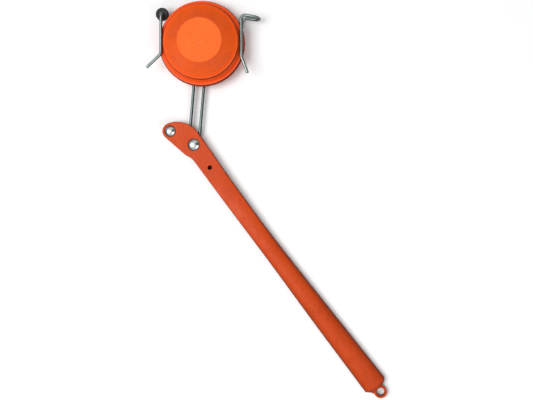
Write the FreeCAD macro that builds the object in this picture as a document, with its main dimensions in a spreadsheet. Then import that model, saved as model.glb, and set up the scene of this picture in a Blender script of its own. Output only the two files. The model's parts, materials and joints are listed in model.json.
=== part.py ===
import FreeCAD, Part
import os, math
from FreeCAD import Vector, Placement, Rotation
import Sketcher

# Ice fishing tip up lying on its back: a moulded stake handle, a bent spring-wire arm that
# swings on a riveted pivot in the handle's head, and a line spool that turns on the arm
# against a rubber brake roller.  +Z is up through the thickness, the resting face is Z = 0.

doc = FreeCAD.newDocument("TipUp")
sheet = doc.addObject("Spreadsheet::Sheet", "Sheet")

CELLS = [
    # frame
    ("pivot_px", -73.657), ("pivot_py", 55.88), ("shaft_dir", -52.7), ("stem_dir", -4.9),
    # handle section and head
    ("head_top", 10.0), ("plate_thick", 3.0), ("slot_top", 7.0),
    ("nose_u", -25.1), ("nose_v", -10.5), ("nose_rad", 8.0), ("brow_rad", 26.0),
    ("brow_u", -8.0), ("brow_v", 10.6), ("jaw_u", 0.5), ("jaw_v", -13.5),
    ("jaw_mid_u", 7.2), ("jaw_mid_v", -11.0), ("jaw_end_u", 14.5), ("jaw_end_v", -9.8),
    ("head_end_u", 40.0), ("head_right_v", 8.45), ("head_left_v", -10.25),
    ("cover_end_u", 38.0), ("cover_gap", 0.2),
    # shaft stations: distance, left edge, right edge, shoulder height, crown height
    ("sta_u", 39.0), ("sta_l", -10.25), ("sta_r", 8.45), ("sta_s", 9.75), ("sta_c", 10.0),
    ("stb_u", 84.0), ("stb_l", -10.8), ("stb_r", 7.3), ("stb_s", 8.9), ("stb_c", 10.4),
    ("stc_u", 124.0), ("stc_l", -11.2), ("stc_r", 6.85), ("stc_s", 7.8), ("stc_c", 10.9),
    ("std_u", 165.0), ("std_l", -11.9), ("std_r", 7.45), ("std_s", 7.2), ("std_c", 11.3),
    ("ste_u", 211.0), ("ste_l", -12.8), ("ste_r", 8.35), ("ste_s", 6.8), ("ste_c", 11.5),
    ("stf_u", 257.0), ("stf_l", -13.4), ("stf_r", 9.3), ("stf_s", 6.6), ("stf_c", 11.5),
    ("stg_u", 302.3), ("stg_l", -13.8), ("stg_r", 10.3), ("stg_s", 6.5), ("stg_c", 11.4),
    ("tip_u", 306.0), ("tip_l", -9.8), ("tip_r", 6.3), ("tip_s", 5.6), ("tip_c", 9.2),
    # underside lightening pockets
    ("rib_start", 48.0), ("rib_pitch", 48.0), ("rib_len", 43.5), ("rib_count", 5.0),
    ("rib_left", -7.0), ("rib_right", 4.6), ("rib_deep", 3.0),
    # eye
    ("eye_u", 311.3), ("eye_v", -1.5), ("eye_rad", 6.5), ("eye_hole", 4.0), ("eye_thick", 5.6),
    # pivot and stop rivets
    ("shank_rad", 2.0), ("rivet_hole", 2.05), ("rivet_head", 5.5), ("stop_head", 5.1),
    ("rivet_dome", 2.6), ("recess_rad", 6.15), ("recess_deep", 0.5),
    ("burr_rad", 4.3), ("burr_thick", 0.6), ("cbore_rad", 4.8), ("cbore_deep", 1.9),
    ("peen_rad", 3.3), ("peg_u", 28.0), ("peg_v", -1.0), ("peg_hole", 2.2), ("peg_rad", 2.1), ("peg_high", 1.0),
    ("slot_wall_low", 6.2), ("slot_wall_high", 7.6), ("swing_low", 37.0), ("swing_high", 179.1),
    ("washer_out", 6.0), ("washer_thick", 0.38),
    # wire
    ("wire_rad", 1.5), ("wire_z", 5.0), ("front_z", 17.5), ("turn_rad", 5.05),
    ("leg_near", 5.05), ("leg_wide", 7.0), ("jog_start", 57.5), ("jog_end", 67.0), ("arm_shift", -0.7),
    ("leg_end", 121.2), ("corner_rad", 4.0), ("rise_rad", 3.5),
    # spool axle carrier
    ("spool_s", 100.9), ("saddle_w", 21.0), ("saddle_l", 27.0), ("saddle_top", 9.0),
    ("clamp_top", 4.9), ("saddle_low", 5.1), ("screw_pitch", 9.2), ("screw_rad", 1.5),
    ("screw_head", 2.8), ("screw_head_z", 2.4), ("screw_floor", 0.5),
    ("axle_rad", 3.0), ("axle_flange", 4.9), ("axle_flange_z", 3.2), ("axle_top", 27.2),
    # spool
    ("flange_rad", 42.75), ("flange_low", 10.5), ("flange_top", 12.5), 
    ("skirt_rad", 41.6), ("skirt_low", 14.1), ("skirt_top", 15.5), ("hub_rad", 7.8), ("hub_top", 24.0), ("bush_rad", 4.5), ("bore_rad", 3.05),
    ("drum_out", 26.2), ("drum_in", 23.9), ("drum_top", 17.6), ("post_r", 15.0), ("post_rad", 3.2),
    ("front_rad", 37.2), ("front_low", 35.9), ("front_top", 21.6), ("cover_in", 20.4), ("cover_top", 29.0),
    ("cover_knee", 22.7), ("cap_rad", 22.0), ("cap_top", 30.0),
    # roller
    ("roll_x", -39.75), ("roll_y", 29.45), ("tyre_rad", 6.45), ("tyre_low", 8.8), ("tyre_top", 13.4),
    ("sleeve_rad", 2.7), ("sleeve_low", 8.6), ("sleeve_top", 13.8), ("sleeve_bore", 1.55),
]
VAL = {}
for i, (alias, value) in enumerate(CELLS):
    cell = "B%d" % (i + 1)
    sheet.set("A%d" % (i + 1), alias.replace("_", " "))
    sheet.set(cell, str(value))
    sheet.setAlias(cell, alias)
    VAL[alias] = value
doc.recompute()
V = VAL


class Ex:
    """a size: its value now, and the sheet expression that drives it"""
    def __init__(self, value, text):
        self.value, self.text = value, text

    def __add__(self, o):
        o = ex(o)
        return Ex(self.value + o.value, "(%s + %s)" % (self.text, o.text))

    def __sub__(self, o):
        o = ex(o)
        return Ex(self.value - o.value, "(%s - %s)" % (self.text, o.text))

    def __mul__(self, k):
        return Ex(self.value * k, "(%s * %r)" % (self.text, float(k)))

    def __neg__(self):
        return Ex(-self.value, "(0 - %s)" % self.text)


def ex(o):
    if isinstance(o, Ex):
        return o
    if isinstance(o, str):
        return Ex(VAL[o], "Sheet." + o)
    return Ex(float(o), repr(float(o)))


def body(name):
    b = doc.addObject("PartDesign::Body", name)
    b.Label = name
    return b


def plane(b, role):
    for f in b.Origin.OriginFeatures:
        if f.Role == role:
            return f
    raise RuntimeError(role)


def sketch(b, name, role="XY_Plane", offset=None):
    s = b.newObject("Sketcher::SketchObject", name)
    s.AttachmentSupport = [(plane(b, role), "")]
    s.MapMode = "FlatFace"
    if offset is not None:
        offset = ex(offset)
        s.AttachmentOffset = Placement(Vector(0, 0, offset.value), Rotation())
        s.setExpression("AttachmentOffset.Base.z", offset.text)
    return s


def drive(s, index, name, e):
    e = ex(e)
    s.setExpression("Constraints[%d]" % index, e.text)


def circle(s, x, y, r):
    x, y, r = ex(x), ex(y), ex(r)
    g = s.addGeometry(Part.Circle(Vector(x.value, y.value, 0), Vector(0, 0, 1), r.value), False)
    drive(s, s.addConstraint(Sketcher.Constraint("Radius", g, r.value)), "r", r)
    for kind, e in (("DistanceX", x), ("DistanceY", y)):
        if abs(e.value) < 1e-9:
            s.addConstraint(Sketcher.Constraint("PointOnObject", g, 3, -2 if kind == "DistanceX" else -1))
        else:
            drive(s, s.addConstraint(Sketcher.Constraint(kind, -1, 1, g, 3, e.value)), "p", e)
    return g


def outline(s, pts):
    """closed outline; each entry is (x, y) for a straight start or (x, y, (mx, my)) when the
    edge that leaves this point is an arc through (mx, my)"""
    n = len(pts)
    P = [(ex(p[0]), ex(p[1])) for p in pts]
    ids = []
    for i in range(n):
        a = Vector(P[i][0].value, P[i][1].value, 0)
        j = (i + 1) % n
        c = Vector(P[j][0].value, P[j][1].value, 0)
        if len(pts[i]) == 3:
            m = Vector(pts[i][2][0], pts[i][2][1], 0)
            # arcs are entered counter-clockwise, so the point number of each end is known
            if (m - a).cross(c - m).z > 0:
                g = s.addGeometry(Part.Arc(a, m, c), False)
                ids.append((g, 1, 2, s.Geometry[g].Radius))
            else:
                g = s.addGeometry(Part.Arc(c, m, a), False)
                ids.append((g, 2, 1, s.Geometry[g].Radius))
        else:
            g = s.addGeometry(Part.LineSegment(a, c), False)
            ids.append((g, 1, 2, None))
    for i in range(n):
        g, a, b_, r = ids[i]
        g2, a2, b2, r2 = ids[(i + 1) % n]
        s.addConstraint(Sketcher.Constraint("Coincident", g, b_, g2, a2))
    for i in range(n):
        g, a, b_, r = ids[i]
        for kind, e in (("DistanceX", P[i][0]), ("DistanceY", P[i][1])):
            if abs(e.value) < 1e-9:
                s.addConstraint(Sketcher.Constraint("PointOnObject", g, a, -2 if kind == "DistanceX" else -1))
            else:
                drive(s, s.addConstraint(Sketcher.Constraint(kind, -1, 1, g, a, e.value)), "p", e)
        if r is not None:
            j = (i + 1) % n
            chord = math.hypot(P[i][0].value - P[j][0].value, P[i][1].value - P[j][1].value)
            if abs(chord - 2 * r) < 1e-6:
                # half circle: its ends fix the radius, so the centre is held on the chord
                s.addConstraint(Sketcher.Constraint("PointOnObject", g, 3, -1))
            else:
                s.addConstraint(Sketcher.Constraint("Radius", g, r))


def pad(b, s, name, length, reverse=False):
    length = ex(length)
    f = b.newObject("PartDesign::Pad", name)
    f.Profile = s
    f.Length = length.value
    f.setExpression("Length", length.text)
    f.Reversed = reverse
    return f


def pocket(b, s, name, length, up=True):
    """cut of a given depth from the sketch, upwards (+normal) or downwards"""
    doc.recompute()
    before = b.Shape.Volume
    length = ex(length)
    f = b.newObject("PartDesign::Pocket", name)
    f.Profile = s
    f.Length = length.value
    f.setExpression("Length", length.text)
    f.Reversed = up
    doc.recompute()
    if b.Shape.isNull() or not b.Shape.Volume < before - 1e-3:
        for o in b.Group:
            print(o.Name, o.State, getattr(o, "Shape", None) and not o.Shape.isNull() and o.Shape.Volume)
        raise RuntimeError("pocket %s cuts nothing" % name)
    return f


def revolve(b, s, name):
    f = b.newObject("PartDesign::Revolution", name)
    f.Profile = s
    f.ReferenceAxis = (s, ["V_Axis"])
    f.Angle = 360.0
    return f


def turned(name, pts):
    """a turned piece about its own Z axis; pts are (radius, height)"""
    b = body(name)
    s = sketch(b, name + "_profile", "XZ_Plane")
    outline(s, pts)
    revolve(b, s, name + "_turn")
    return b


def place(o, x, y, z, yaw, ex_x=None, ex_y=None):
    o.Placement = Placement(Vector(x, y, z), Rotation(Vector(0, 0, 1), yaw))


# positions in the row frame -------------------------------------------------------------
PX, PY = V["pivot_px"], V["pivot_py"]
SH = math.radians(V["shaft_dir"])
ST = math.radians(V["stem_dir"])
U = Vector(math.cos(SH), math.sin(SH), 0)
N = Vector(-math.sin(SH), math.cos(SH), 0)
# stem frame: T across the arm, S along it from the pivot towards the spool
T = Vector(math.cos(ST), math.sin(ST), 0)
S = Vector(-math.sin(ST), math.cos(ST), 0)
PIV = Vector(PX, PY, 0)


def at_handle(u, v, z=0.0):
    return PIV + U * u + N * v + Vector(0, 0, z)


def at_arm(t, s, z=0.0):
    return PIV + T * t + S * s + Vector(0, 0, z)


def at_wire(t, s, z=0.0):
    """the two stem legs run side by side about a line a little left of the pivot"""
    return at_arm(t + V["arm_shift"], s, z)


def bind_handle(o):
    place(o, PX, PY, 0, V["shaft_dir"])
    o.setExpression("Placement.Base.x", "Sheet.pivot_px")
    o.setExpression("Placement.Base.y", "Sheet.pivot_py")
    o.setExpression("Placement.Rotation.Angle", "Sheet.shaft_dir")


def bind_at(o, p, yaw=0.0):
    place(o, p.x, p.y, p.z, yaw)


# ---- stake handle -----------------------------------------------------------------------
nose = Vector(V["nose_u"], V["nose_v"], 0)
bc = Vector(V["brow_u"], V["brow_v"] - V["brow_rad"], 0)
d = nose - bc
d.normalize()
brow_touch = nose + d * V["nose_rad"]
# straight jaw line tangent to the nose circle, from the jaw point
jaw = Vector(V["jaw_u"], V["jaw_v"], 0)
w = nose - jaw
L = w.Length
ang = math.atan2(w.y, w.x) + math.asin(V["nose_rad"] / L)
tl = math.sqrt(L * L - V["nose_rad"] ** 2)
jaw_touch = jaw + Vector(math.cos(ang), math.sin(ang), 0) * tl
mid_a = math.atan2(brow_touch.y - nose.y, brow_touch.x - nose.x)
mid_b = math.atan2(jaw_touch.y - nose.y, jaw_touch.x - nose.x)
if mid_b < mid_a:
    mid_b += 2 * math.pi
mm = (mid_a + mid_b) / 2
nose_mid = nose + Vector(math.cos(mm), math.sin(mm), 0) * V["nose_rad"]
a0 = math.atan2(brow_touch.y - bc.y, brow_touch.x - bc.x)
am = (a0 + math.pi / 2) / 2
brow_mid = bc + Vector(math.cos(am), math.sin(am), 0) * V["brow_rad"]


def head_outline(s, end_u, right_v, left_v):
    outline(s, [
        (end_u, right_v),
        ("brow_u", "brow_v", (brow_mid.x, brow_mid.y)),
        (brow_touch.x, brow_touch.y, (nose_mid.x, nose_mid.y)),
        (jaw_touch.x, jaw_touch.y),
        ("jaw_u", "jaw_v", (4.3, -12.45)),
        ("jaw_mid_u", "jaw_mid_v", (10.6, -10.05)),
        ("jaw_end_u", "jaw_end_v"),
        (end_u, left_v),
    ])


hb = body("stake_handle")
s = sketch(hb, "head_plan")
head_outline(s, "head_end_u", "head_right_v", "head_left_v")
pad(hb, s, "head_pad", "head_top")


def station(k, offset_name=None):
    s = sketch(hb, "section_" + k, "YZ_Plane", k + "_u")
    l, r, sh, c = V[k + "_l"], V[k + "_r"], V[k + "_s"], V[k + "_c"]
    outline(s, [
        (k + "_l", 0.0),
        (k + "_r", 0.0),
        (k + "_r", k + "_s", ((l + r) / 2, c)),
        (k + "_l", k + "_s"),
    ])
    return s


secs = [station(k) for k in ("sta", "stb", "stc", "std", "ste", "stf", "stg")]
lf = hb.newObject("PartDesign::AdditiveLoft", "shaft_loft")
lf.Profile = secs[0]
lf.Sections = secs[1:]
lf.Ruled = False
doc.recompute()
end_a = sketch(hb, "end_section_a", "YZ_Plane", "stg_u")
outline(end_a, [("stg_l", 0.0), ("stg_r", 0.0),
                ("stg_r", "stg_s", ((V["stg_l"] + V["stg_r"]) / 2, V["stg_c"])), ("stg_l", "stg_s")])
end_b = sketch(hb, "end_section_b", "YZ_Plane", "tip_u")
outline(end_b, [("tip_l", 0.0), ("tip_r", 0.0),
                ("tip_r", "tip_s", ((V["tip_l"] + V["tip_r"]) / 2, V["tip_c"])), ("tip_l", "tip_s")])
le = hb.newObject("PartDesign::AdditiveLoft", "end_loft")
le.Profile = end_a
le.Sections = [end_b]
le.Ruled = True
doc.recompute()
# eye tab
s = sketch(hb, "eye_plan")
er, eu, ev = V["eye_rad"], V["eye_u"], V["eye_v"]
a_r, a_l = math.radians(112.0), math.radians(-104.0)
tr_, tl_ = (eu + er * math.cos(a_r), ev + er * math.sin(a_r)), (eu + er * math.cos(a_l), ev + er * math.sin(a_l))
outline(s, [
    (300.0, tr_[1]), (tr_[0], tr_[1], (eu + er, ev)), (tl_[0], tl_[1], ((tl_[0] + 306.3) / 2 + 0.1, (tl_[1] - 9.6) / 2 + 0.12)),
    (306.3, -9.6), (300.0, -9.6)])
pad(hb, s, "eye_pad", "eye_thick")
doc.recompute()
s = sketch(hb, "eye_bore")
circle(s, "eye_u", "eye_v", "eye_hole")
pocket(hb, s, "eye_cut", 12.0)
# recess for the cover plate under the head
s = sketch(hb, "cover_seat")
outline(s, [(-40.0, -24.0), (ex("cover_end_u") + ex("cover_gap"), -24.0),
            (ex("cover_end_u") + ex("cover_gap"), 20.0), (-40.0, 20.0)])
pocket(hb, s, "cover_seat_cut", "plate_thick")
# slot that the arm swings in, open along the brow and the right-hand edge
lo, hi = math.radians(V["swing_low"]), math.radians(V["swing_high"])
pl = Vector(math.sin(lo), -math.cos(lo), 0) * V["slot_wall_low"]     # nearest point of the low stop wall
ph = Vector(-math.sin(hi), math.cos(hi), 0) * V["slot_wall_high"]    # nearest point of the high stop wall
ml = (math.atan2(pl.y, pl.x) + math.atan2(ph.y, ph.x)) / 2
off = (V["slot_wall_low"] + V["slot_wall_high"]) / 2
far_l = pl + Vector(math.cos(lo), math.sin(lo), 0) * 60
far_h = ph + Vector(math.cos(hi), math.sin(hi), 0) * 60
s = sketch(hb, "slot_plan", "XY_Plane", "plate_thick")
outline(s, [(far_l.x, far_l.y), (far_h.x, 60.0), (far_h.x, far_h.y),
            (ph.x, ph.y, (off * math.cos(ml), off * math.sin(ml))), (pl.x, pl.y)])
pocket(hb, s, "slot_cut", ex("slot_top") - ex("plate_thick"))
# round room for the wire's closed end, which turns about the rivet
s = sketch(hb, "slot_round", "XY_Plane", "plate_thick")
circle(s, 0.0, 0.0, "slot_wall_high")
pocket(hb, s, "slot_round_cut", ex("slot_top") - ex("plate_thick"))
# rivet holes, head recesses, locating hole
s = sketch(hb, "rivet_holes")
circle(s, 0.0, 0.0, "rivet_hole")
circle(s, "nose_u", "nose_v", "rivet_hole")
circle(s, "peg_u", "peg_v", "peg_hole")
pocket(hb, s, "rivet_hole_cut", 20.0)
s = sketch(hb, "rivet_recess", "XY_Plane", ex("head_top") - ex("recess_deep"))
circle(s, 0.0, 0.0, "recess_rad")
circle(s, "nose_u", "nose_v", ex("recess_rad") - 0.4)
pocket(hb, s, "rivet_recess_cut", 2.0)
# shallow pockets under the shaft with cross ribs between them
s = sketch(hb, "rib_plan")
outline(s, [("rib_start", "rib_left"), (ex("rib_start") + ex("rib_len"), "rib_left"),
            (ex("rib_start") + ex("rib_len"), "rib_right"), ("rib_start", "rib_right")])
rp = pocket(hb, s, "rib_cut", "rib_deep")
lp = hb.newObject("PartDesign::LinearPattern", "rib_pattern")
lp.Originals = [rp]
lp.Direction = (plane(hb, "X_Axis"), [""])
try:
    lp.Mode = "Spacing"
except Exception:
    pass
lp.Length = V["rib_pitch"] * (V["rib_count"] - 1)
lp.setExpression("Length", "Sheet.rib_pitch * (Sheet.rib_count - 1)")
lp.Occurrences = int(V["rib_count"])
try:
    lp.Mode = "Extent"
except Exception:
    pass
before = hb.Shape.Volume
hb.Tip = lp
doc.recompute()
if not hb.Shape.Volume < before - 100:
    raise RuntimeError("rib pattern cuts nothing")
bind_handle(hb)

# ---- head cover plate -------------------------------------------------------------------
cb = body("head_cover_plate")
s = sketch(cb, "cover_plan")
rv = V["brow_v"] + (V["head_right_v"] - V["brow_v"]) * (V["cover_end_u"] - V["brow_u"]) / (V["head_end_u"] - V["brow_u"])
lv = V["jaw_end_v"] + (V["head_left_v"] - V["jaw_end_v"]) * (V["cover_end_u"] - V["jaw_end_u"]) / (V["head_end_u"] - V["jaw_end_u"])
head_outline(s, "cover_end_u", rv, lv)
pad(cb, s, "cover_pad", "plate_thick")
s = sketch(cb, "peg_plan", "XY_Plane", "plate_thick")
circle(s, "peg_u", "peg_v", "peg_rad")
pad(cb, s, "peg_pad", "peg_high")
s = sketch(cb, "cover_holes")
circle(s, 0.0, 0.0, "rivet_hole")
circle(s, "nose_u", "nose_v", "rivet_hole")
pocket(cb, s, "cover_hole_cut", 8.0)
s = sketch(cb, "cover_cbores")
circle(s, 0.0, 0.0, "cbore_rad")
circle(s, "nose_u", "nose_v", "cbore_rad")
pocket(cb, s, "cover_cbore_cut", "cbore_deep")
bind_handle(cb)


# ---- rivets -----------------------------------------------------------------------------
def dome_mid(base, z0, high):
    """middle point of a spherical dome's profile arc, centred on the axis"""
    rs = (base * base + high * high) / (2 * high)
    phi = math.asin(base / rs) / 2
    return (rs * math.sin(phi), z0 + high - rs + rs * math.cos(phi))


def rivet(name, u, v, head, recess):
    z0 = V["head_top"] - V["recess_deep"]
    zb = V["cbore_deep"]
    hr = V[head]
    b = turned(name, [
        (0.0, 0.25), ("peen_rad", 0.55), ("peen_rad", zb - V["burr_thick"]),
        ("shank_rad", zb - V["burr_thick"]), ("shank_rad", z0), (head, z0),
        (head, z0 + 0.7, dome_mid(hr, z0 + 0.7, V["rivet_dome"] - 0.7)),
        (0.0, z0 + V["rivet_dome"])])
    bind_at(b, at_handle(u, v))
    return b


rivet("pivot_rivet", 0.0, 0.0, "rivet_head", "recess_rad")
rivet("stop_rivet", V["nose_u"], V["nose_v"], "stop_head", "recess_rad")


def ring(name, ro, ri, z0, z1):
    """plain washer from Part primitives, bound to the sheet"""
    ro, ri, z0, z1 = ex(ro), ex(ri), ex(z0), ex(z1)
    a = doc.addObject("Part::Cylinder", name + "_out")
    a.Radius = ro.value
    a.setExpression("Radius", ro.text)
    a.Height = z1.value - z0.value
    a.setExpression("Height", (z1 - z0).text)
    b = doc.addObject("Part::Cylinder", name + "_in")
    b.Radius = ri.value
    b.setExpression("Radius", ri.text)
    b.Height = z1.value - z0.value + 2
    b.setExpression("Height", (z1 - z0 + 2.0).text)
    b.Placement = Placement(Vector(0, 0, -1), Rotation())
    c = doc.addObject("Part::Cut", name + "_ring")
    c.Base, c.Tool = a, b
    return c, z0.value


def pair(name, items):
    """identical fasteners kept in one node; items are (object, position)"""
    comp = doc.addObject("Part::Compound", name)
    comp.Label = name
    comp.Links = items
    return comp


burrs = []
for i, (u, v) in enumerate(((0.0, 0.0), (V["nose_u"], V["nose_v"]))):
    c, z = ring("burr%d" % i, "burr_rad", "rivet_hole", ex("cbore_deep") - ex("burr_thick"), "cbore_deep")
    bind_at(c, at_handle(u, v, V["cbore_deep"] - V["burr_thick"]))
    burrs.append(c)
pair("rivet_washers", burrs)
ws = []
for i, z in enumerate((V["plate_thick"] + 0.02, V["slot_top"] - 0.02 - V["washer_thick"])):
    c, _ = ring("fric%d" % i, "washer_out", "rivet_hole", 0.0, "washer_thick")
    bind_at(c, at_handle(0, 0, z))
    ws.append(c)
pair("pivot_washers", ws)

# ---- pivot block: a stadium-shaped bearing clipped inside the wire's closed end ---------
pb = body("pivot_block")
s = sketch(pb, "block_plan", "XY_Plane", 3.5)
sh_ = V["arm_shift"]
outline(s, [(ex("arm_shift") - 3.5, 0.0, (sh_, -3.5)), (ex("arm_shift") + 3.5, 0.0),
            (ex("arm_shift") + 3.5, 15.0), (ex("arm_shift") - 3.5, 15.0)])
pad(pb, s, "block_pad", ex("wire_rad") * 2)
s = sketch(pb, "block_bore", "XY_Plane", 3.5)
circle(s, 0.0, 0.0, "rivet_hole")
pocket(pb, s, "block_bore_cut", 5.0)
place(pb, PX, PY, 0, V["stem_dir"])


# ---- wire frame -------------------------------------------------------------------------
def bent_wire(pts, radii, r):
    """round wire: straight runs joined by tangent arcs; radii has one bend radius per inner point"""
    solids = []
    n = len(pts)
    starts, ends = [pts[0]], []
    arcs = []
    for i in range(1, n - 1):
        a, b, c = pts[i - 1], pts[i], pts[i + 1]
        d1 = (b - a)
        d1.normalize()
        d2 = (c - b)
        d2.normalize()
        turn = d1.getAngle(d2)
        t = radii[i - 1] * math.tan(turn / 2)
        p1, p2 = b - d1 * t, b + d2 * t
        axis = d1.cross(d2)
        axis.normalize()
        centre = p1 + axis.cross(d1) * radii[i - 1]
        arcs.append((p1, d1, centre, axis, math.degrees(turn)))
        ends.append(p1)
        starts.append(p2)
    ends.append(pts[-1])
    for a, b in zip(starts, ends):
        d1 = b - a
        if d1.Length < 1e-6:
            continue
        solids.append(Part.makeCylinder(r, d1.Length, a, d1))
    for p1, d1, centre, axis, turn in arcs:
        face = Part.Face(Part.Wire([Part.makeCircle(r, p1, d1)]))
        solids.append(face.revolve(centre, axis, turn))
    shape = solids[0]
    shape = shape.multiFuse(solids[1:])
    return shape.removeSplitter(), list(zip(starts, ends))


wz, fz, ln, lw = V["wire_z"], V["front_z"], V["leg_near"], V["leg_wide"]
C = at_arm(0, V["spool_s"])
R = C + Vector(V["roll_x"], V["roll_y"], 0)


def rel(x, y, z):
    """point given from the pivot in row directions"""
    return PIV + Vector(x, y, z)


tip = rel(65.6, 125.4, 0)
top = rel(48.2, 128.3, 0)
leg = Vector(tip.x - top.x, tip.y - top.y, 0)
leg.normalize()
half = (fz - wz) / 2
up = Vector(0, 0, 1)
pts_left = [
    rel(-45.6, 75.7, fz),                          # cut end of the left kick
    rel(-31.5, 89.2, fz),                          # kick bend
    Vector(R.x, R.y, fz),                          # bends down into the roller's axis
    Vector(R.x, R.y, wz),                          # turns under the spool
    at_wire(-lw, V["leg_end"], wz),
    at_wire(-lw, V["jog_end"], wz),
    at_wire(-ln, V["jog_start"], wz),
]
pts_right = [
    at_wire(ln, V["jog_start"], wz),
    at_wire(lw, V["jog_end"], wz),
    at_wire(lw, V["leg_end"] + 0.9, wz),
    rel(47.3, 113.0, wz),
    Vector(top.x + 0.2, top.y, wz),
    Vector(tip.x, tip.y, wz),
    Vector(tip.x, tip.y, fz),
    Vector(top.x, top.y, fz),
    rel(48.4, 86.4, fz),
    rel(54.5, 70.4, fz),
]
# the closed end round the pivot is a half circle between the two near legs
pts = pts_left + [at_wire(-ln, -ln, wz), at_wire(ln, -ln, wz)] + pts_right
radii = [6.0, V["corner_rad"], V["rise_rad"], 8.0, 14.0, 14.0,
         ln - 0.0005, ln - 0.0005,
         14.0, 14.0, 6.0, 5.5, 5.0, half - 0.0005, half - 0.0005, 3.6, 8.0]
wire_shape, runs = bent_wire(pts, radii, V["wire_rad"])
wf = doc.addObject("Part::Feature", "wire_frame")
wf.Label = "wire_frame"
wf.Shape = wire_shape
wf.Placement = Placement()

# ---- spool axle carrier -----------------------------------------------------------------
sw, sl = ex("saddle_w"), ex("saddle_l")


def block_plan(s):
    hw, hl = sw * 0.5, sl * 0.5
    m = ex("arm_shift")
    c = 3.0
    kx, ky = hw.value - c * 0.293, hl.value - c * 0.293
    outline(s, [
        (m + hw, -hl + c), (m + hw, hl - c, (m.value + kx, ky)),
        (m + hw - c, hl), (m - hw + c, hl, (m.value - kx, ky)),
        (m - hw, hl - c), (m - hw, -hl + c, (m.value - kx, -ky)),
        (m - hw + c, -hl), (m + hw - c, -hl, (m.value + kx, -ky))])


def grooves(b, name, z):
    """two half-round grooves for the wires, cut along the piece"""
    s = sketch(b, name, "XZ_Plane")
    circle(s, ex("arm_shift") + ex("leg_wide"), z, ex("wire_rad") + 0.02)
    circle(s, ex("arm_shift") - ex("leg_wide"), z, ex("wire_rad") + 0.02)
    doc.recompute()
    before = b.Shape.Volume
    f = b.newObject("PartDesign::Pocket", name + "_cut")
    f.Profile = s
    f.Type = 1
    f.Midplane = True
    doc.recompute()
    if not b.Shape.Volume < before - 1:
        raise RuntimeError("grooves cut nothing")


sb = body("axle_saddle")
s = sketch(sb, "saddle_plan", "XY_Plane", "saddle_low")
block_plan(s)
pad(sb, s, "saddle_pad", ex("saddle_top") - ex("saddle_low"))
doc.recompute()
grooves(sb, "saddle_groove", "wire_z")
s = sketch(sb, "saddle_bore", "XY_Plane", "saddle_low")
circle(s, 0.0, 0.0, "axle_rad")
pocket(sb, s, "saddle_bore_cut", 10.0)
s = sketch(sb, "saddle_pilots", "XY_Plane", "saddle_low")
circle(s, 0.0, "screw_pitch", "screw_rad")
circle(s, 0.0, -ex("screw_pitch"), "screw_rad")
pocket(sb, s, "saddle_pilot_cut", 3.2)

kb = body("saddle_clamp")
s = sketch(kb, "clamp_plan")
block_plan(s)
pad(kb, s, "clamp_pad", "clamp_top")
doc.recompute()
grooves(kb, "clamp_groove", "wire_z")
s = sketch(kb, "clamp_pin_seat", "XY_Plane", "axle_flange_z")
circle(s, 0.0, 0.0, "axle_flange")
pocket(kb, s, "clamp_pin_cut", 5.0)
s = sketch(kb, "clamp_holes")
circle(s, 0.0, "screw_pitch", ex("screw_rad") + 0.1)
circle(s, 0.0, -ex("screw_pitch"), ex("screw_rad") + 0.1)
pocket(kb, s, "clamp_hole_cut", 8.0)
s = sketch(kb, "clamp_cbores")
circle(s, 0.0, "screw_pitch", ex("screw_head") + 0.2)
circle(s, 0.0, -ex("screw_pitch"), ex("screw_head") + 0.2)
pocket(kb, s, "clamp_cbore_cut", "screw_head_z")
for b in (sb, kb):
    bind_at(b, C, V["stem_dir"])

sc = []
for i, sgn in enumerate((1, -1)):
    b = turned("clamp_screw%d" % i, [
        (0.0, 1.4), (0.9, 1.4), (0.9, "screw_floor"), ("screw_head", ex("screw_floor") + 0.5),
        ("screw_head", "screw_head_z"), ("screw_rad", "screw_head_z"), ("screw_rad", 7.6),
        (ex("screw_rad") - 0.5, 8.1), (0.0, 8.1)])
    p = at_arm(0, V["spool_s"] + sgn * V["screw_pitch"])
    bind_at(b, p)
    sc.append(b)
pair("clamp_screws", sc)

b = turned("axle_pin", [
    (0.0, "axle_flange_z"), (ex("axle_flange") - 0.1, "axle_flange_z"), (ex("axle_flange") - 0.1, "saddle_low"),
    ("axle_rad", "saddle_low"), ("axle_rad", ex("axle_top") - 0.6), (ex("axle_rad") - 0.6, "axle_top"), (0.0, "axle_top")])
bind_at(b, C)
wb = ex("axle_rad") + 0.1
b = turned("thrust_washer", [(wb, "saddle_top"), (7.4, "saddle_top"), (7.4, ex("saddle_top") + 0.6),
                             (wb, ex("saddle_top") + 0.6)])
bind_at(b, C)
b = turned("drag_spring_washer", [
    (ex("axle_rad") + 0.1, 9.95), (6.6, 9.62), (6.6, 9.92), (ex("axle_rad") + 0.1, 10.25)])
bind_at(b, C)
b = turned("axle_washer", [(wb, ex("hub_top") + 0.15), (6.6, ex("hub_top") + 0.15),
                           (6.6, ex("hub_top") + 0.95), (wb, ex("hub_top") + 0.95)])
bind_at(b, C)
b = turned("axle_push_nut", [("axle_rad", ex("hub_top") + 0.95), (5.4, ex("hub_top") + 0.95),
                             (5.4, ex("hub_top") + 1.5), (4.4, ex("hub_top") + 2.3), ("axle_rad", ex("hub_top") + 2.3)])
bind_at(b, C)

# ---- spool ------------------------------------------------------------------------------
POST = [90.0, 210.0, 330.0]


def post_circles(s, r):
    for a in POST:
        circle(s, V["post_r"] * math.cos(math.radians(a)), V["post_r"] * math.sin(math.radians(a)), r)


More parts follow.
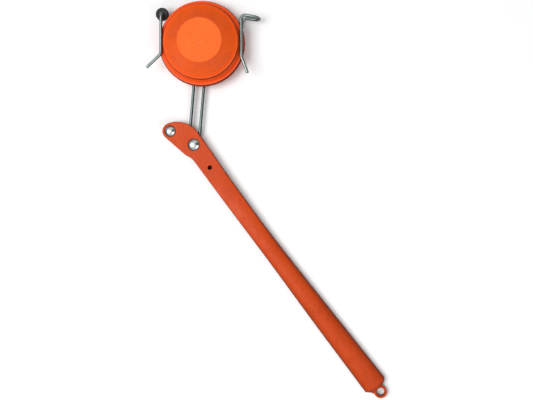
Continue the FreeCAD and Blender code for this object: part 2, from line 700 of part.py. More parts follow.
fb = turned("spool_back_flange", [
    ("hub_rad", "flange_low"), (ex("flange_rad") - 0.6, "flange_low"), ("flange_rad", ex("flange_low") + 0.6),
    ("flange_rad", ex("flange_top") - 0.6, (V["flange_rad"] - 0.18, V["flange_top"] - 0.18)),
    (ex("flange_rad") - 0.6, "flange_top"), ("hub_rad", "flange_top")])
s = sketch(fb, "back_holes", "XY_Plane", "flange_low")
post_circles(s, 1.6)
pocket(fb, s, "back_hole_cut", 5.0)
s = sketch(fb, "back_cbores", "XY_Plane", "flange_low")
post_circles(s, 2.9)
pocket(fb, s, "back_cbore_cut", 1.2)
bind_at(fb, C, V["stem_dir"])

core = turned("spool_core", [
    ("bush_rad", "flange_low"), ("hub_rad", "flange_low"), ("hub_rad", "flange_top"),
    ("drum_out", "flange_top"), ("drum_out", "drum_top"), ("drum_in", "drum_top"),
    ("drum_in", ex("flange_top") + 1.6), ("hub_rad", ex("flange_top") + 1.6), ("hub_rad", "hub_top"),
    ("bush_rad", "hub_top")])
s = sketch(core, "post_plan", "XY_Plane", ex("flange_top") + 0.8)
post_circles(s, "post_rad")
pad(core, s, "post_pad", ex("drum_top") - ex("flange_top") - 0.8)
s = sketch(core, "post_bores", "XY_Plane", "flange_top")
post_circles(s, 1.5)
pocket(core, s, "post_bore_cut", 12.0)
bind_at(core, C, V["stem_dir"])

# the front flange: an inner plate on the drum, a flared wall and a flat skirt that narrows the line slot
ff = turned("spool_front_flange", [
    (ex("hub_rad") + 0.1, "drum_top"), ("front_low", "drum_top"), (ex("front_low") + 1.7, "skirt_low"),
    (ex("skirt_rad") - 0.4, "skirt_low"), ("skirt_rad", ex("skirt_low") + 0.4),
    ("skirt_rad", ex("skirt_top") - 0.5, (V["skirt_rad"] - 0.15, V["skirt_top"] - 0.15)), (ex("skirt_rad") - 0.5, "skirt_top"),
    (ex("front_rad") + 1.4, "skirt_top"), ("front_rad", ex("front_top") - 1.2), ("front_rad", "front_top"),
    (ex("front_rad") - 1.9, "front_top"), (ex("front_low") - 1.8, ex("drum_top") + 1.6),
    (ex("hub_rad") + 0.1, ex("drum_top") + 1.6)])
s = sketch(ff, "front_boss", "XY_Plane", ex("drum_top") + 1.1)
post_circles(s, "post_rad")
pad(ff, s, "front_boss_pad", ex("front_top") - ex("drum_top") + 1.6)
s = sketch(ff, "front_bores", "XY_Plane", "drum_top")
post_circles(s, 1.5)
pocket(ff, s, "front_bore_cut", ex("front_top") - ex("drum_top") + 2.0)
bind_at(ff, C, V["stem_dir"])

fc = turned("spool_front_cover", [
    ("front_rad", "front_top"), ("front_rad", ex("front_top") + 0.5, (V["front_rad"] - 0.18, V["front_top"] + 0.93)),
    (ex("front_rad") - 0.6, ex("front_top") + 1.1),
    ("cover_knee", "cover_top"), ("cover_in", "cover_top"), ("cover_in", ex("cover_top") - 1.7),
    (22.0, ex("cover_top") - 1.7), (34.6, "front_top")])
bind_at(fc, C, V["stem_dir"])

hc = turned("hub_cap", [
    (0.0, "cover_top"), (18.2, "cover_top"), (18.2, ex("cover_top") - 2.6), (20.3, ex("cover_top") - 2.6),
    (20.3, "cover_top"), ("cap_rad", "cover_top"), ("cap_rad", ex("cap_top") - 0.5, (V["cap_rad"] - 0.15, V["cap_top"] - 0.15)),
    (ex("cap_rad") - 0.5, "cap_top"), (0.0, "cap_top")])
bind_at(hc, C, V["stem_dir"])

bb = turned("axle_bushing", [("bore_rad", "flange_low"), ("bush_rad", "flange_low"), ("bush_rad", "hub_top"),
                             ("bore_rad", "hub_top")])
bind_at(bb, C)

ss = []
for i, a in enumerate(POST):
    b = turned("spool_screw%d" % i, [
        (0.0, 11.2), (0.8, 11.2), (0.8, 10.7), (2.2, 10.7), (2.7, 11.0), (2.7, 11.7), (1.5, 11.7), (1.5, 22.4), (1.0, 22.9),
        (0.0, 22.9)])
    rot = math.radians(a + V["stem_dir"])
    bind_at(b, C + Vector(V["post_r"] * math.cos(rot), V["post_r"] * math.sin(rot), 0))
    ss.append(b)
pair("spool_screws", ss)

# ---- brake roller -----------------------------------------------------------------------
tr = V["tyre_rad"]
b = turned("brake_roller", [
    ("sleeve_rad", "tyre_low"), (ex("tyre_rad") - 1.6, "tyre_low", (tr - 0.47, V["tyre_low"] + 0.47)),
    ("tyre_rad", ex("tyre_low") + 1.6), ("tyre_rad", ex("tyre_top") - 1.6, (tr - 0.47, V["tyre_top"] - 0.47)),
    (ex("tyre_rad") - 1.6, "tyre_top"), (4.2, "tyre_top"), (3.9, ex("tyre_top") - 0.5), ("sleeve_rad", ex("tyre_top") - 0.5)])
bind_at(b, R)
b = turned("roller_sleeve", [
    ("sleeve_bore", "sleeve_low"), ("sleeve_rad", "sleeve_low"), ("sleeve_rad", "sleeve_top"), ("sleeve_bore", "sleeve_top")])
bind_at(b, R)

doc.recompute()

NODES = ["stake_handle", "head_cover_plate", "pivot_rivet", "stop_rivet", "rivet_washers", "pivot_washers",
         "wire_frame", "pivot_block", "axle_saddle", "saddle_clamp", "clamp_screws", "axle_pin", "thrust_washer",
         "drag_spring_washer", "axle_washer", "axle_push_nut", "spool_back_flange", "spool_core",
         "spool_front_flange", "spool_front_cover", "hub_cap", "axle_bushing", "spool_screws",
         "brake_roller", "roller_sleeve"]

bad = [o.Name for o in doc.Objects if any(k in str(o.State) for k in ("Invalid", "Error"))]
if bad:
    raise RuntimeError("failed objects: %s" % bad)
by = {}
for o in doc.Objects:
    if o.Label in NODES:
        by[o.Label] = o
total = FreeCAD.BoundBox()
for nme in NODES:
    o = by[nme]
    sh = o.Shape
    if sh.isNull() or not sh.isValid() or sh.Volume <= 0:
        raise RuntimeError("bad shape " + nme)
    total.add(sh.BoundBox)
os.makedirs("parts", exist_ok=True)
for nme in NODES:
    sh = by[nme].Shape
    sh.exportStep(os.path.join("parts", nme + ".step"))
    print("%-20s solids %d  volume %9.1f mm3" % (nme, len(sh.Solids), sh.Volume))
print("box", [round(x, 2) for x in (total.XMin, total.YMin, total.ZMin, total.XMax, total.YMax, total.ZMax)])
print("spool axis", [round(x, 4) for x in C], "roller axis", [round(x, 4) for x in R])
print("eye", at_handle(V["eye_u"], V["eye_v"]), "length of wire", round(wire_shape.Volume / (math.pi * V["wire_rad"] ** 2), 1))
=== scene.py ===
import json
import math

import bmesh
import bpy
import numpy as np
from mathutils import Matrix, Vector
from mathutils.geometry import delaunay_2d_cdt


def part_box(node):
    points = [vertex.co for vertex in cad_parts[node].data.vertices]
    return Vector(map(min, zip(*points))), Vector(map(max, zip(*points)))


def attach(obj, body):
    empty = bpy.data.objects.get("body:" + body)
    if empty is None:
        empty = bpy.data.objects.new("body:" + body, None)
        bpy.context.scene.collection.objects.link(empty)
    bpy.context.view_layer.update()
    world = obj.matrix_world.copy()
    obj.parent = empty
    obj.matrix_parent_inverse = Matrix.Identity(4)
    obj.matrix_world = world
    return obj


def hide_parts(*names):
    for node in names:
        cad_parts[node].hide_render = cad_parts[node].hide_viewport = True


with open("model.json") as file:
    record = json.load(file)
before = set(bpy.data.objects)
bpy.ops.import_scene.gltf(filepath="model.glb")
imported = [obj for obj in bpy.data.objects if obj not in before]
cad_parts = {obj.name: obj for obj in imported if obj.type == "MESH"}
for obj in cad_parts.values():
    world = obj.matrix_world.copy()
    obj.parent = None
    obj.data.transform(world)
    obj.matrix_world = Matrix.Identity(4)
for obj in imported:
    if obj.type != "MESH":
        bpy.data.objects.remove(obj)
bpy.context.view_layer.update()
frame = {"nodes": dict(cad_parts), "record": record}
MM = 0.001
SC = bpy.context.scene
NODES = frame["nodes"]


# ---- places in the row frame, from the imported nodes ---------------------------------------
def mid(node):
    lo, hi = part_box(node)
    return Vector(((lo.x + hi.x) / 2, (lo.y + hi.y) / 2, 0))


P = mid("pivot_rivet")                 # arm pivot
C = mid("hub_cap")                     # spool axis
R = mid("brake_roller")                # roller axis
SHAFT = math.radians(-52.7)
STEM = math.radians(-4.9)
FRAME_H = Matrix.Translation(P) @ Matrix.Rotation(SHAFT, 4, "Z")
FRAME_A = Matrix.Translation(P) @ Matrix.Rotation(STEM, 4, "Z")
FRAME_C = Matrix.Translation(C) @ Matrix.Rotation(STEM, 4, "Z")
FRAME_R = Matrix.Translation(R) @ Matrix.Rotation(STEM, 4, "Z")


def new_object(name, mesh, body, mat, replaces=()):
    o = bpy.data.objects.new(name, mesh)
    SC.collection.objects.link(o)
    mesh.materials.append(mat)
    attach(o, body)
    if replaces:
        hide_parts(*replaces)
    return o


def finish_mesh(me, sharp=34.0):
    me.validate()
    me.update()
    me.shade_smooth()
    me.set_sharp_from_angle(angle=math.radians(sharp))


def weighted(o):
    m = o.modifiers.new("weighted", "WEIGHTED_NORMAL")
    m.keep_sharp = True
    m.weight = 60
    return o


# ---- 2d helpers ---------------------------------------------------------------------------
def arc3(a, m, b, n):
    """n steps along the circle through three points, the first point left out"""
    ax, ay, bx, by, cx, cy = *a, *m, *b
    d = 2 * (ax * (by - cy) + bx * (cy - ay) + cx * (ay - by))
    ux = ((ax * ax + ay * ay) * (by - cy) + (bx * bx + by * by) * (cy - ay) + (cx * cx + cy * cy) * (ay - by)) / d
    uy = ((ax * ax + ay * ay) * (cx - bx) + (bx * bx + by * by) * (ax - cx) + (cx * cx + cy * cy) * (bx - ax)) / d
    r = math.hypot(ax - ux, ay - uy)
    t0, tm, t1 = (math.atan2(q[1] - uy, q[0] - ux) for q in (a, m, b))
    ccw = ((tm - t0) % (2 * math.pi)) < ((t1 - t0) % (2 * math.pi))
    span = (t1 - t0) % (2 * math.pi) if ccw else -((t0 - t1) % (2 * math.pi))
    return [(ux + r * math.cos(t0 + span * i / n), uy + r * math.sin(t0 + span * i / n)) for i in range(1, n + 1)]


def filleted(pts, closed=True):
    """polygon whose corners are (x, y, radius, steps) or (x, y); rounded where a radius is given"""
    out = []
    n = len(pts)
    for i, p in enumerate(pts):
        rad = p[2] if len(p) > 2 else 0.0
        steps = p[3] if len(p) > 3 else 5
        if rad <= 0 or (not closed and i in (0, n - 1)):
            out.append((p[0], p[1]))
            continue
        b = Vector(p[:2])
        a, c = Vector(pts[i - 1][:2]), Vector(pts[(i + 1) % n][:2])
        d1, d2 = (b - a), (c - b)
        l1, l2 = d1.length, d2.length
        d1.normalize()
        d2.normalize()
        turn = d1.angle(d2)
        if turn < 1e-3:
            out.append((p[0], p[1]))
            continue
        t = min(rad * math.tan(turn / 2), 0.49 * l1, 0.49 * l2)
        rad = t / math.tan(turn / 2)
        p1 = b - d1 * t
        sgn = 1 if d1.x * d2.y - d1.y * d2.x > 0 else -1
        ctr = p1 + Vector((-d1.y, d1.x)) * rad * sgn
        v = p1 - ctr
        for k in range(steps + 1):
            a_ = sgn * turn * k / steps
            out.append((ctr.x + v.x * math.cos(a_) - v.y * math.sin(a_), ctr.y + v.x * math.sin(a_) + v.y * math.cos(a_)))
    return out


def resample(pts, step):
    """closed polyline with no edge longer than step"""
    out = []
    n = len(pts)
    for i in range(n):
        a, b = pts[i], pts[(i + 1) % n]
        d = math.hypot(b[0] - a[0], b[1] - a[1])
        if d < 1e-6:
            continue
        k = max(1, int(math.ceil(d / step)))
        for j in range(k):
            out.append((a[0] + (b[0] - a[0]) * j / k, a[1] + (b[1] - a[1]) * j / k))
    return out


def inside(poly, q):
    """which of the points q lie in a closed polygon"""
    poly = np.asarray(poly, float)
    x, y = q[:, 0], q[:, 1]
    res = np.zeros(len(q), bool)
    a, b = poly, np.roll(poly, -1, 0)
    for (x0, y0), (x1, y1) in zip(a, b):
        if y0 == y1:
            continue
        hit = ((y0 > y) != (y1 > y)) & (x < (x1 - x0) * (y - y0) / (y1 - y0) + x0)
        res ^= hit
    return res


def distance(poly, q, closed=True):
    """distance from each point of q to a polyline"""
    poly = np.asarray(poly, float)
    a = poly if closed else poly[:-1]
    b = np.roll(poly, -1, 0) if closed else poly[1:]
    best = np.full(len(q), 1e9)
    for p0, p1 in zip(a, b):
        d = p1 - p0
        L = float(d @ d)
        if L < 1e-12:
            continue
        t = np.clip(((q - p0) @ d) / L, 0, 1)
        best = np.minimum(best, np.hypot(*(q - p0 - t[:, None] * d).T))
    return best


def drop(d, r):
    """how far a rounded edge of radius r falls at distance d from it"""
    e = np.clip(r - np.asarray(d, float), 0, r)
    return r - np.sqrt(np.maximum(r * r - e * e, 0))


def ring_pts(cx, cy, r, n):
    return [(cx + r * math.cos(2 * math.pi * i / n), cy + r * math.sin(2 * math.pi * i / n)) for i in range(n)]


def spline(xs, ys):
    """natural cubic through the stations"""
    xs, ys = np.asarray(xs, float), np.asarray(ys, float)
    n = len(xs)
    h = np.diff(xs)
    A = np.zeros((n, n))
    rhs = np.zeros(n)
    A[0, 0] = A[-1, -1] = 1
    for i in range(1, n - 1):
        A[i, i - 1], A[i, i], A[i, i + 1] = h[i - 1], 2 * (h[i - 1] + h[i]), h[i]
        rhs[i] = 6 * ((ys[i + 1] - ys[i]) / h[i] - (ys[i] - ys[i - 1]) / h[i - 1])
    m = np.linalg.solve(A, rhs)

    def f(x):
        x = np.clip(np.asarray(x, float), xs[0], xs[-1])
        i = np.clip(np.searchsorted(xs, x) - 1, 0, n - 2)
        t0, t1 = xs[i + 1] - x, x - xs[i]
        return (m[i] * t0 ** 3 + m[i + 1] * t1 ** 3) / (6 * h[i]) + (ys[i] / h[i] - m[i] * h[i] / 6) * t0 + (ys[i + 1] / h[i] - m[i + 1] * h[i] / 6) * t1

    return f


# ---- a moulded plate: one solid column over each point of its plan ---------------------------
def plate_mesh(name, loops, lines, points, regions, place):
    """loops and lines bound the plan's regions; points refine it.
    regions(q) gives, for plan points q, a bottom code and a top code (-1 where there is nothing),
    and a dict of code -> height function for each side."""
    coords, edges = [], []
    for lp in loops:
        k = len(coords)
        coords += [Vector(p) for p in lp]
        edges += [(k + i, k + (i + 1) % len(lp)) for i in range(len(lp))]
    for ln in lines:
        k = len(coords)
        coords += [Vector(p) for p in ln]
        edges += [(k + i, k + i + 1) for i in range(len(ln) - 1)]
    coords += [Vector(p) for p in points]
    vs, _, fs, *_ = delaunay_2d_cdt(coords, edges, [], 0, 1e-4, False)
    q = np.array([(v.x, v.y) for v in vs])
    tri = np.array([f for f in fs if len(f) == 3])
    # counter-clockwise triangles, slivers kept because they share their edges
    cen = q[tri].mean(1)
    bot_code, top_code, bot_z, top_z = regions(cen)
    area = 0.5 * ((q[tri[:, 1], 0] - q[tri[:, 0], 0]) * (q[tri[:, 2], 1] - q[tri[:, 0], 1])
                  - (q[tri[:, 1], 1] - q[tri[:, 0], 1]) * (q[tri[:, 2], 0] - q[tri[:, 0], 0]))
    flip = area < 0
    tri[flip] = tri[flip][:, ::-1]
    keep = (top_code >= 0) & (np.abs(area) > 1e-9)
    zb = {c: f(q) for c, f in bot_z.items()}
    zt = {c: f(q) for c, f in top_z.items()}
    bm = bmesh.new()
    cache = {}
    column = {}

    def vert(i, z):
        key = (i, round(float(z), 4))
        if key not in cache:
            p = place @ Vector((q[i, 0] * MM, q[i, 1] * MM, float(z) * MM))
            cache[key] = bm.verts.new(p)
            column.setdefault(i, set()).add(key[1])
        return cache[key]

    sides = {}
    for t, (a, b, c) in enumerate(tri):
        if not keep[t]:
            continue
        ft, fb = zt[top_code[t]], zb[bot_code[t]]
        bm.faces.new((vert(a, ft[a]), vert(b, ft[b]), vert(c, ft[c])))
        bm.faces.new((vert(c, fb[c]), vert(b, fb[b]), vert(a, fb[a])))
        for i, j in ((a, b), (b, c), (c, a)):
            sides.setdefault((min(i, j), max(i, j)), []).append((t, i, j))
    walls = []
    for _, owners in sides.items():
        if len(owners) == 1:
            t, i, j = owners[0]
            walls.append((i, j, zb[bot_code[t]][i], zt[top_code[t]][i], zb[bot_code[t]][j], zt[top_code[t]][j]))
        else:
            (t, i, j), (s, _, _) = owners
            if top_code[t] != top_code[s]:
                za, zc = zt[top_code[t]], zt[top_code[s]]
                if (za[i] + za[j]) > (zc[i] + zc[j]):
                    walls.append((i, j, zc[i], za[i], zc[j], za[j]))
                else:
                    walls.append((j, i, za[j], zc[j], za[i], zc[i]))
            if bot_code[t] != bot_code[s]:
                za, zc = zb[bot_code[t]], zb[bot_code[s]]
                if (za[i] + za[j]) < (zc[i] + zc[j]):
                    walls.append((i, j, za[i], zc[i], za[j], zc[j]))
                else:
                    walls.append((j, i, zc[j], za[j], zc[i], za[i]))
    for i, j, lo_i, hi_i, lo_j, hi_j in walls:
        def between(k, lo, hi):
            lo, hi = round(float(lo), 4), round(float(hi), 4)
            return sorted(z for z in column.get(k, ()) if lo - 1e-6 <= z <= hi + 1e-6) or [lo, hi]
        ci, cj = between(i, lo_i, hi_i), between(j, lo_j, hi_j)
        ring = [vert(i, z) for z in ci[::-1]] + [vert(j, z) for z in cj]
        seen, poly = set(), []
        for v in ring:
            if v not in seen:
                seen.add(v)
                poly.append(v)
        if len(poly) >= 3:
            try:
                bm.faces.new(poly)
            except ValueError:
                pass
    bmesh.ops.recalc_face_normals(bm, faces=bm.faces)
    me = bpy.data.meshes.new(name)
    bm.to_mesh(me)
    bm.free()
    finish_mesh(me)
    return me


def grid(box, step, keep):
    """points of a triangular grid in a box, for which keep(q) is true"""
    x0, y0, x1, y1 = box
    out = []
    row = 0
    y = y0
    while y < y1:
        x = x0 + (step / 2 if row % 2 else 0)
        while x < x1:
            out.append((x, y))
            x += step
        y += step * 0.8660254
        row += 1
    q = np.array(out)
    return [tuple(p) for p in q[keep(q)]]


def offset_rings(poly, dists, q_ok):
    """points at each distance inside a closed counter-clockwise polyline"""
    a = np.asarray(poly, float)
    t1 = a - np.roll(a, 1, 0)
    t2 = np.roll(a, -1, 0) - a
    t1 /= np.linalg.norm(t1, axis=1)[:, None]
    t2 /= np.linalg.norm(t2, axis=1)[:, None]
    t = t1 + t2
    t /= np.linalg.norm(t, axis=1)[:, None]
    n = np.stack([-t[:, 1], t[:, 0]], 1)
    out = []
    for d in dists:
        p = a + n * d
        ok = distance(poly, p) > d * 0.93
        out += [tuple(x) for x in p[ok & q_ok(p)]]
    return out


# ---- turned pieces --------------------------------------------------------------------------
def turned(name, prof, place, seg=192):
    """solid of revolution about local Z; prof is a closed profile of (r, z) in mm, with corner radii"""
    pts = filleted(prof)
    pts = [p for i, p in enumerate(pts) if math.hypot(p[0] - pts[i - 1][0], p[1] - pts[i - 1][1]) > 1e-5]
    bm = bmesh.new()
    rings = []
    for r, z in pts:
        if r < 1e-6:
            rings.append([bm.verts.new(place @ Vector((0, 0, z * MM)))])
        else:
            rings.append([bm.verts.new(place @ Vector((r * MM * math.cos(2 * math.pi * i / seg), r * MM * math.sin(2 * math.pi * i / seg), z * MM)))
                          for i in range(seg)])
    n = len(rings)
    for k in range(n):
        a, b = rings[k], rings[(k + 1) % n]
        if len(a) == 1 and len(b) == 1:
            continue
        for i in range(seg):
            j = (i + 1) % seg
            if len(a) == 1:
                bm.faces.new((a[0], b[j], b[i]))
            elif len(b) == 1:
                bm.faces.new((a[i], a[j], b[0]))
            else:
                bm.faces.new((a[i], a[j], b[j], b[i]))
    bmesh.ops.recalc_face_normals(bm, faces=bm.faces)
    me = bpy.data.meshes.new(name)
    bm.to_mesh(me)
    bm.free()
    finish_mesh(me)
    return me


def boolean(me, cutter_me, op="DIFFERENCE"):
    """the mesh less (or with) another one, worked out once"""
    a = bpy.data.objects.new("tmp_a", me)
    b = bpy.data.objects.new("tmp_b", cutter_me)
    SC.collection.objects.link(a)
    SC.collection.objects.link(b)
    m = a.modifiers.new("b", "BOOLEAN")
    m.operation = op
    m.solver = "EXACT"
    m.object = b
    bpy.context.view_layer.update()
    dg = bpy.context.evaluated_depsgraph_get()
    out = bpy.data.meshes.new_from_object(a.evaluated_get(dg))
    bpy.data.objects.remove(a)
    bpy.data.objects.remove(b)
    finish_mesh(out)
    return out


def tube(name, pts, radii, r, seg=28, step=6.0, chamfer=0.25):
    """round bar bent through straight runs and arcs, cut ends slightly eased; points in metres, radii in mm"""
    path = [(pts[0], (pts[1] - pts[0]).normalized())]
    for i in range(1, len(pts) - 1):
        b = pts[i]
        d1, d2 = (b - pts[i - 1]).normalized(), (pts[i + 1] - b).normalized()
        turn = d1.angle(d2)
        rad = radii[i - 1] * MM
        t = rad * math.tan(turn / 2)
        p1 = b - d1 * t
        axis = d1.cross(d2).normalized()
        ctr = p1 + axis.cross(d1) * rad
        k = max(2, int(math.ceil(math.degrees(turn) / step)))
        for j in range(k + 1):
            rot = Matrix.Rotation(turn * j / k, 3, axis)
            path.append((ctr + rot @ (p1 - ctr), rot @ d1))
    path.append((pts[-1], (pts[-1] - pts[-2]).normalized()))
    clean = [path[0]]
    for p, d in path[1:]:
        gap = (p - clean[-1][0]).length
        if gap < 2e-6:
            continue
        k = int(gap // 0.004)
        for j in range(1, k + 1):
            f = j / (k + 1)
            clean.append((clean[-1][0].lerp(p, 1 / (k + 2 - j)), d))
        clean.append((p, d))
    bm = bmesh.new()
    st = bm.verts.layers.float_vector.new("along")
    d0 = clean[0][1]
    side = d0.cross(Vector((0, 0, 1)))
    side.normalize()
    rings = []
    length = 0.0
    prev = clean[0]
    n = len(clean)
    c = chamfer * MM
    for k, (p, d) in enumerate(clean):
        q = prev[1].rotation_difference(d)
        side = q @ side
        side = (side - d * side.dot(d)).normalized()
        up = d.cross(side).normalized()
        length += (p - prev[0]).length
        prev = (p, d)
        rr = [(0.0, r * MM)]
        if k == 0:
            rr = [(0.0, r * MM - c), (c * 0.35, r * MM - c * 0.25), (c, r * MM)]
        elif k == n - 1:
            rr = [(-c, r * MM), (-c * 0.35, r * MM - c * 0.25), (0.0, r * MM - c)]
        for off, rad in rr:
            ring = []
            for i in range(seg):
                a = 2 * math.pi * i / seg
                v = bm.verts.new(p + d * off + (side * math.cos(a) + up * math.sin(a)) * rad)
                v[st] = Vector((length + off, math.cos(a) * r * MM, math.sin(a) * r * MM))
                ring.append(v)
            rings.append(ring)
    for a, b in zip(rings, rings[1:]):
        for i in range(seg):
            j = (i + 1) % seg
            bm.faces.new((a[i], a[j], b[j], b[i]))
    bm.faces.new(rings[0][::-1])
    bm.faces.new(rings[-1])
    bmesh.ops.recalc_face_normals(bm, faces=bm.faces)
    me = bpy.data.meshes.new(name)
    bm.to_mesh(me)
    bm.free()
    finish_mesh(me, 50)
    return me


# ---- materials ------------------------------------------------------------------------------
class Nodes:
    def __init__(self, name):
        self.mat = bpy.data.materials.new(name)
        self.mat.use_nodes = True
        self.t = self.mat.node_tree
        self.bsdf = self.t.nodes["Principled BSDF"]
        self.tc = self.t.nodes.new("ShaderNodeTexCoord")

    def new(self, kind, **props):
        n = self.t.nodes.new(kind)
        for k, v in props.items():
            setattr(n, k, v)
        return n

    def link(self, a, b):
        self.t.links.new(a, b)

    def coords(self, scale=(1, 1, 1), turn=(0, 0, 0), source=None):
        m = self.new("ShaderNodeMapping")
        m.inputs["Scale"].default_value = scale
        m.inputs["Rotation"].default_value = turn
        self.link(source or self.tc.outputs["Object"], m.inputs["Vector"])
        return m.outputs["Vector"]

    def noise(self, scale, detail=4.0, rough=0.55, vec=None, distortion=0.0):
        n = self.new("ShaderNodeTexNoise")
        n.inputs["Scale"].default_value = scale
        n.inputs["Detail"].default_value = detail
        n.inputs["Roughness"].default_value = rough
        n.inputs["Distortion"].default_value = distortion
        self.link(vec or self.tc.outputs["Object"], n.inputs["Vector"])
        return n.outputs["Fac"]

    def cells(self, scale, vec=None, feature="F1"):
        n = self.new("ShaderNodeTexVoronoi", feature=feature)
        n.inputs["Scale"].default_value = scale
        self.link(vec or self.tc.outputs["Object"], n.inputs["Vector"])
        return n.outputs["Distance"]

    def ramp(self, fac, stops):
        n = self.new("ShaderNodeMapRange", interpolation_type="SMOOTHSTEP")
        a, b, lo, hi = stops
        n.inputs["From Min"].default_value = a
        n.inputs["From Max"].default_value = b
        n.inputs["To Min"].default_value = lo
        n.inputs["To Max"].default_value = hi
        self.link(fac, n.inputs["Value"])
        return n.outputs["Result"]

    def math(self, op, a, b):
        n = self.new("ShaderNodeMath", operation=op)
        for i, v in enumerate((a, b)):
            if isinstance(v, (int, float)):
                n.inputs[i].default_value = v
            else:
                self.link(v, n.inputs[i])
        return n.outputs[0]

    def mix(self, fac, a, b, blend="MIX"):
        n = self.new("ShaderNodeMix", data_type="RGBA", blend_type=blend)
        if isinstance(fac, (int, float)):
            n.inputs[0].default_value = fac
        else:
            self.link(fac, n.inputs[0])
        for i, v in ((6, a), (7, b)):
            if isinstance(v, tuple):
                n.inputs[i].default_value = (*v, 1.0) if len(v) == 3 else v
            else:
                self.link(v, n.inputs[i])
        return n.outputs[2]

    def around(self, centre):
        """distance in metres from an upright axis through centre"""
        a = self.new("ShaderNodeVectorMath", operation="SUBTRACT")
        self.link(self.tc.outputs["Object"], a.inputs[0])
        a.inputs[1].default_value = (centre.x, centre.y, 0)
        b = self.new("ShaderNodeVectorMath", operation="MULTIPLY")
        self.link(a.outputs[0], b.inputs[0])
        b.inputs[1].default_value = (1, 1, 0)
        c = self.new("ShaderNodeVectorMath", operation="LENGTH")
        self.link(b.outputs[0], c.inputs[0])
        return c.outputs["Value"]

    def band(self, dist, r0, r1, r2, r3):
        """1 between r1 and r2 (mm), fading to 0 at r0 and r3"""
        return self.math("MULTIPLY", self.ramp(dist, (r0 * MM, r1 * MM, 0.0, 1.0)), self.ramp(dist, (r2 * MM, r3 * MM, 1.0, 0.0)))

    def height(self):
        g = self.new("ShaderNodeSeparateXYZ")
        self.link(self.tc.outputs["Object"], g.inputs["Vector"])
        return g.outputs["Z"]

    def bump(self, height, dist_mm, strength=1.0, normal=None):
        n = self.new("ShaderNodeBump")
        n.inputs["Strength"].default_value = strength
        n.inputs["Distance"].default_value = dist_mm * MM
        self.link(height, n.inputs["Height"])
        if normal is not None:
            self.link(normal, n.inputs["Normal"])
        return n.outputs["Normal"]

    def out(self, **sockets):
        for k, v in sockets.items():
            s = self.bsdf.inputs[k.replace("_", " ")]
            if isinstance(v, (int, float)):
                s.default_value = v
            elif isinstance(v, tuple):
                s.default_value = (*v, 1.0) if len(v) == 3 and s.type == "RGBA" else v
            else:
                self.link(v, s)
        return self.mat


def srgb(r, g, b):
    return tuple(((c / 255) / 12.92 if c / 255 <= 0.04045 else ((c / 255 + 0.055) / 1.055) ** 2.4) for c in (r, g, b))


def plastic(name, base, dark, light, rough=(0.36, 0.52), grain=0.02, scuff=0.35, turn=0.0, spec=0.42, blotch=22.0,
            side_shade=0.85, wear=0.10, extra=None, mottle=0.0, upright=(0.30, 0.90)):
    """moulded plastic: mottled colour, spark-eroded grain, fine handling scratches, paler rubbed edges, and painted
    shade that darkens upright walls
    """
    m = Nodes(name)
    big = m.noise(blotch, 5, 0.6, distortion=0.6)
    fine = m.noise(420.0, 4, 0.6)
    col = m.mix(m.ramp(big, (0.38, 0.66, 0.0, 1.0)), base, dark)
    col = m.mix(m.ramp(fine, (0.45, 0.72, 0.0, 0.30)), col, light)
    if mottle:
        # flow marks left where the melt came in
        flow = m.noise(1.0, 4, 0.6, m.coords((520, 150, 200), (0, 0, 0.92)), distortion=1.6)
        col = m.mix(m.ramp(flow, (0.46, 0.66, 0.0, mottle)), col, tuple(c * 0.74 for c in dark))
    # hair-thin scratches in two directions
    s1 = m.noise(1.0, 3, 0.6, m.coords((70, 2600, 900), (0, 0, turn)))
    s2 = m.noise(1.0, 3, 0.6, m.coords((90, 2100, 900), (0, 0, turn + 1.1)))
    scr = m.math("MAXIMUM", m.ramp(s1, (0.70, 0.78, 0.0, 1.0)), m.ramp(s2, (0.72, 0.80, 0.0, 1.0)))
    patch = m.ramp(m.noise(34.0, 3, 0.5), (0.44, 0.62, 0.0, 1.0))
    scr = m.math("MULTIPLY", scr, patch)
    col = m.mix(m.math("MULTIPLY", scr, scuff), col, light)
    # painted shade: walls that stand upright are darkened by their normal, as if turned away from the overhead light
    sep = m.new("ShaderNodeSeparateXYZ")
    m.link(m.tc.outputs["Normal"], sep.inputs["Vector"])
    up = m.math("ABSOLUTE", sep.outputs["Z"], 0.0)
    col = m.mix(m.ramp(up, (*upright, side_shade, 0.0)), col, tuple(c * 0.34 for c in dark))
    # rubbed edges
    geo = m.new("ShaderNodeNewGeometry")
    edge = m.ramp(geo.outputs["Pointiness"], (0.52, 0.60, 0.0, wear))
    col = m.mix(edge, col, light)
    if extra:
        col = extra(m, col)
    rgh = m.ramp(m.noise(130.0, 5, 0.62), (0.3, 0.7, rough[0], rough[1]))
    rgh = m.math("ADD", rgh, m.math("MULTIPLY", scr, 0.12))
    spark = m.noise(2300.0, 3, 0.7)
    coarse = m.noise(240.0, 3, 0.5)
    h = m.math("ADD", m.math("MULTIPLY", spark, 0.6), m.math("MULTIPLY", coarse, 0.55))
    h = m.math("SUBTRACT", h, m.math("MULTIPLY", scr, 0.30))
    nrm = m.bump(h, grain * 2.2, 0.75)
    return m.out(Base_Color=col, Roughness=rgh, Normal=nrm, Specular_IOR_Level=spec)


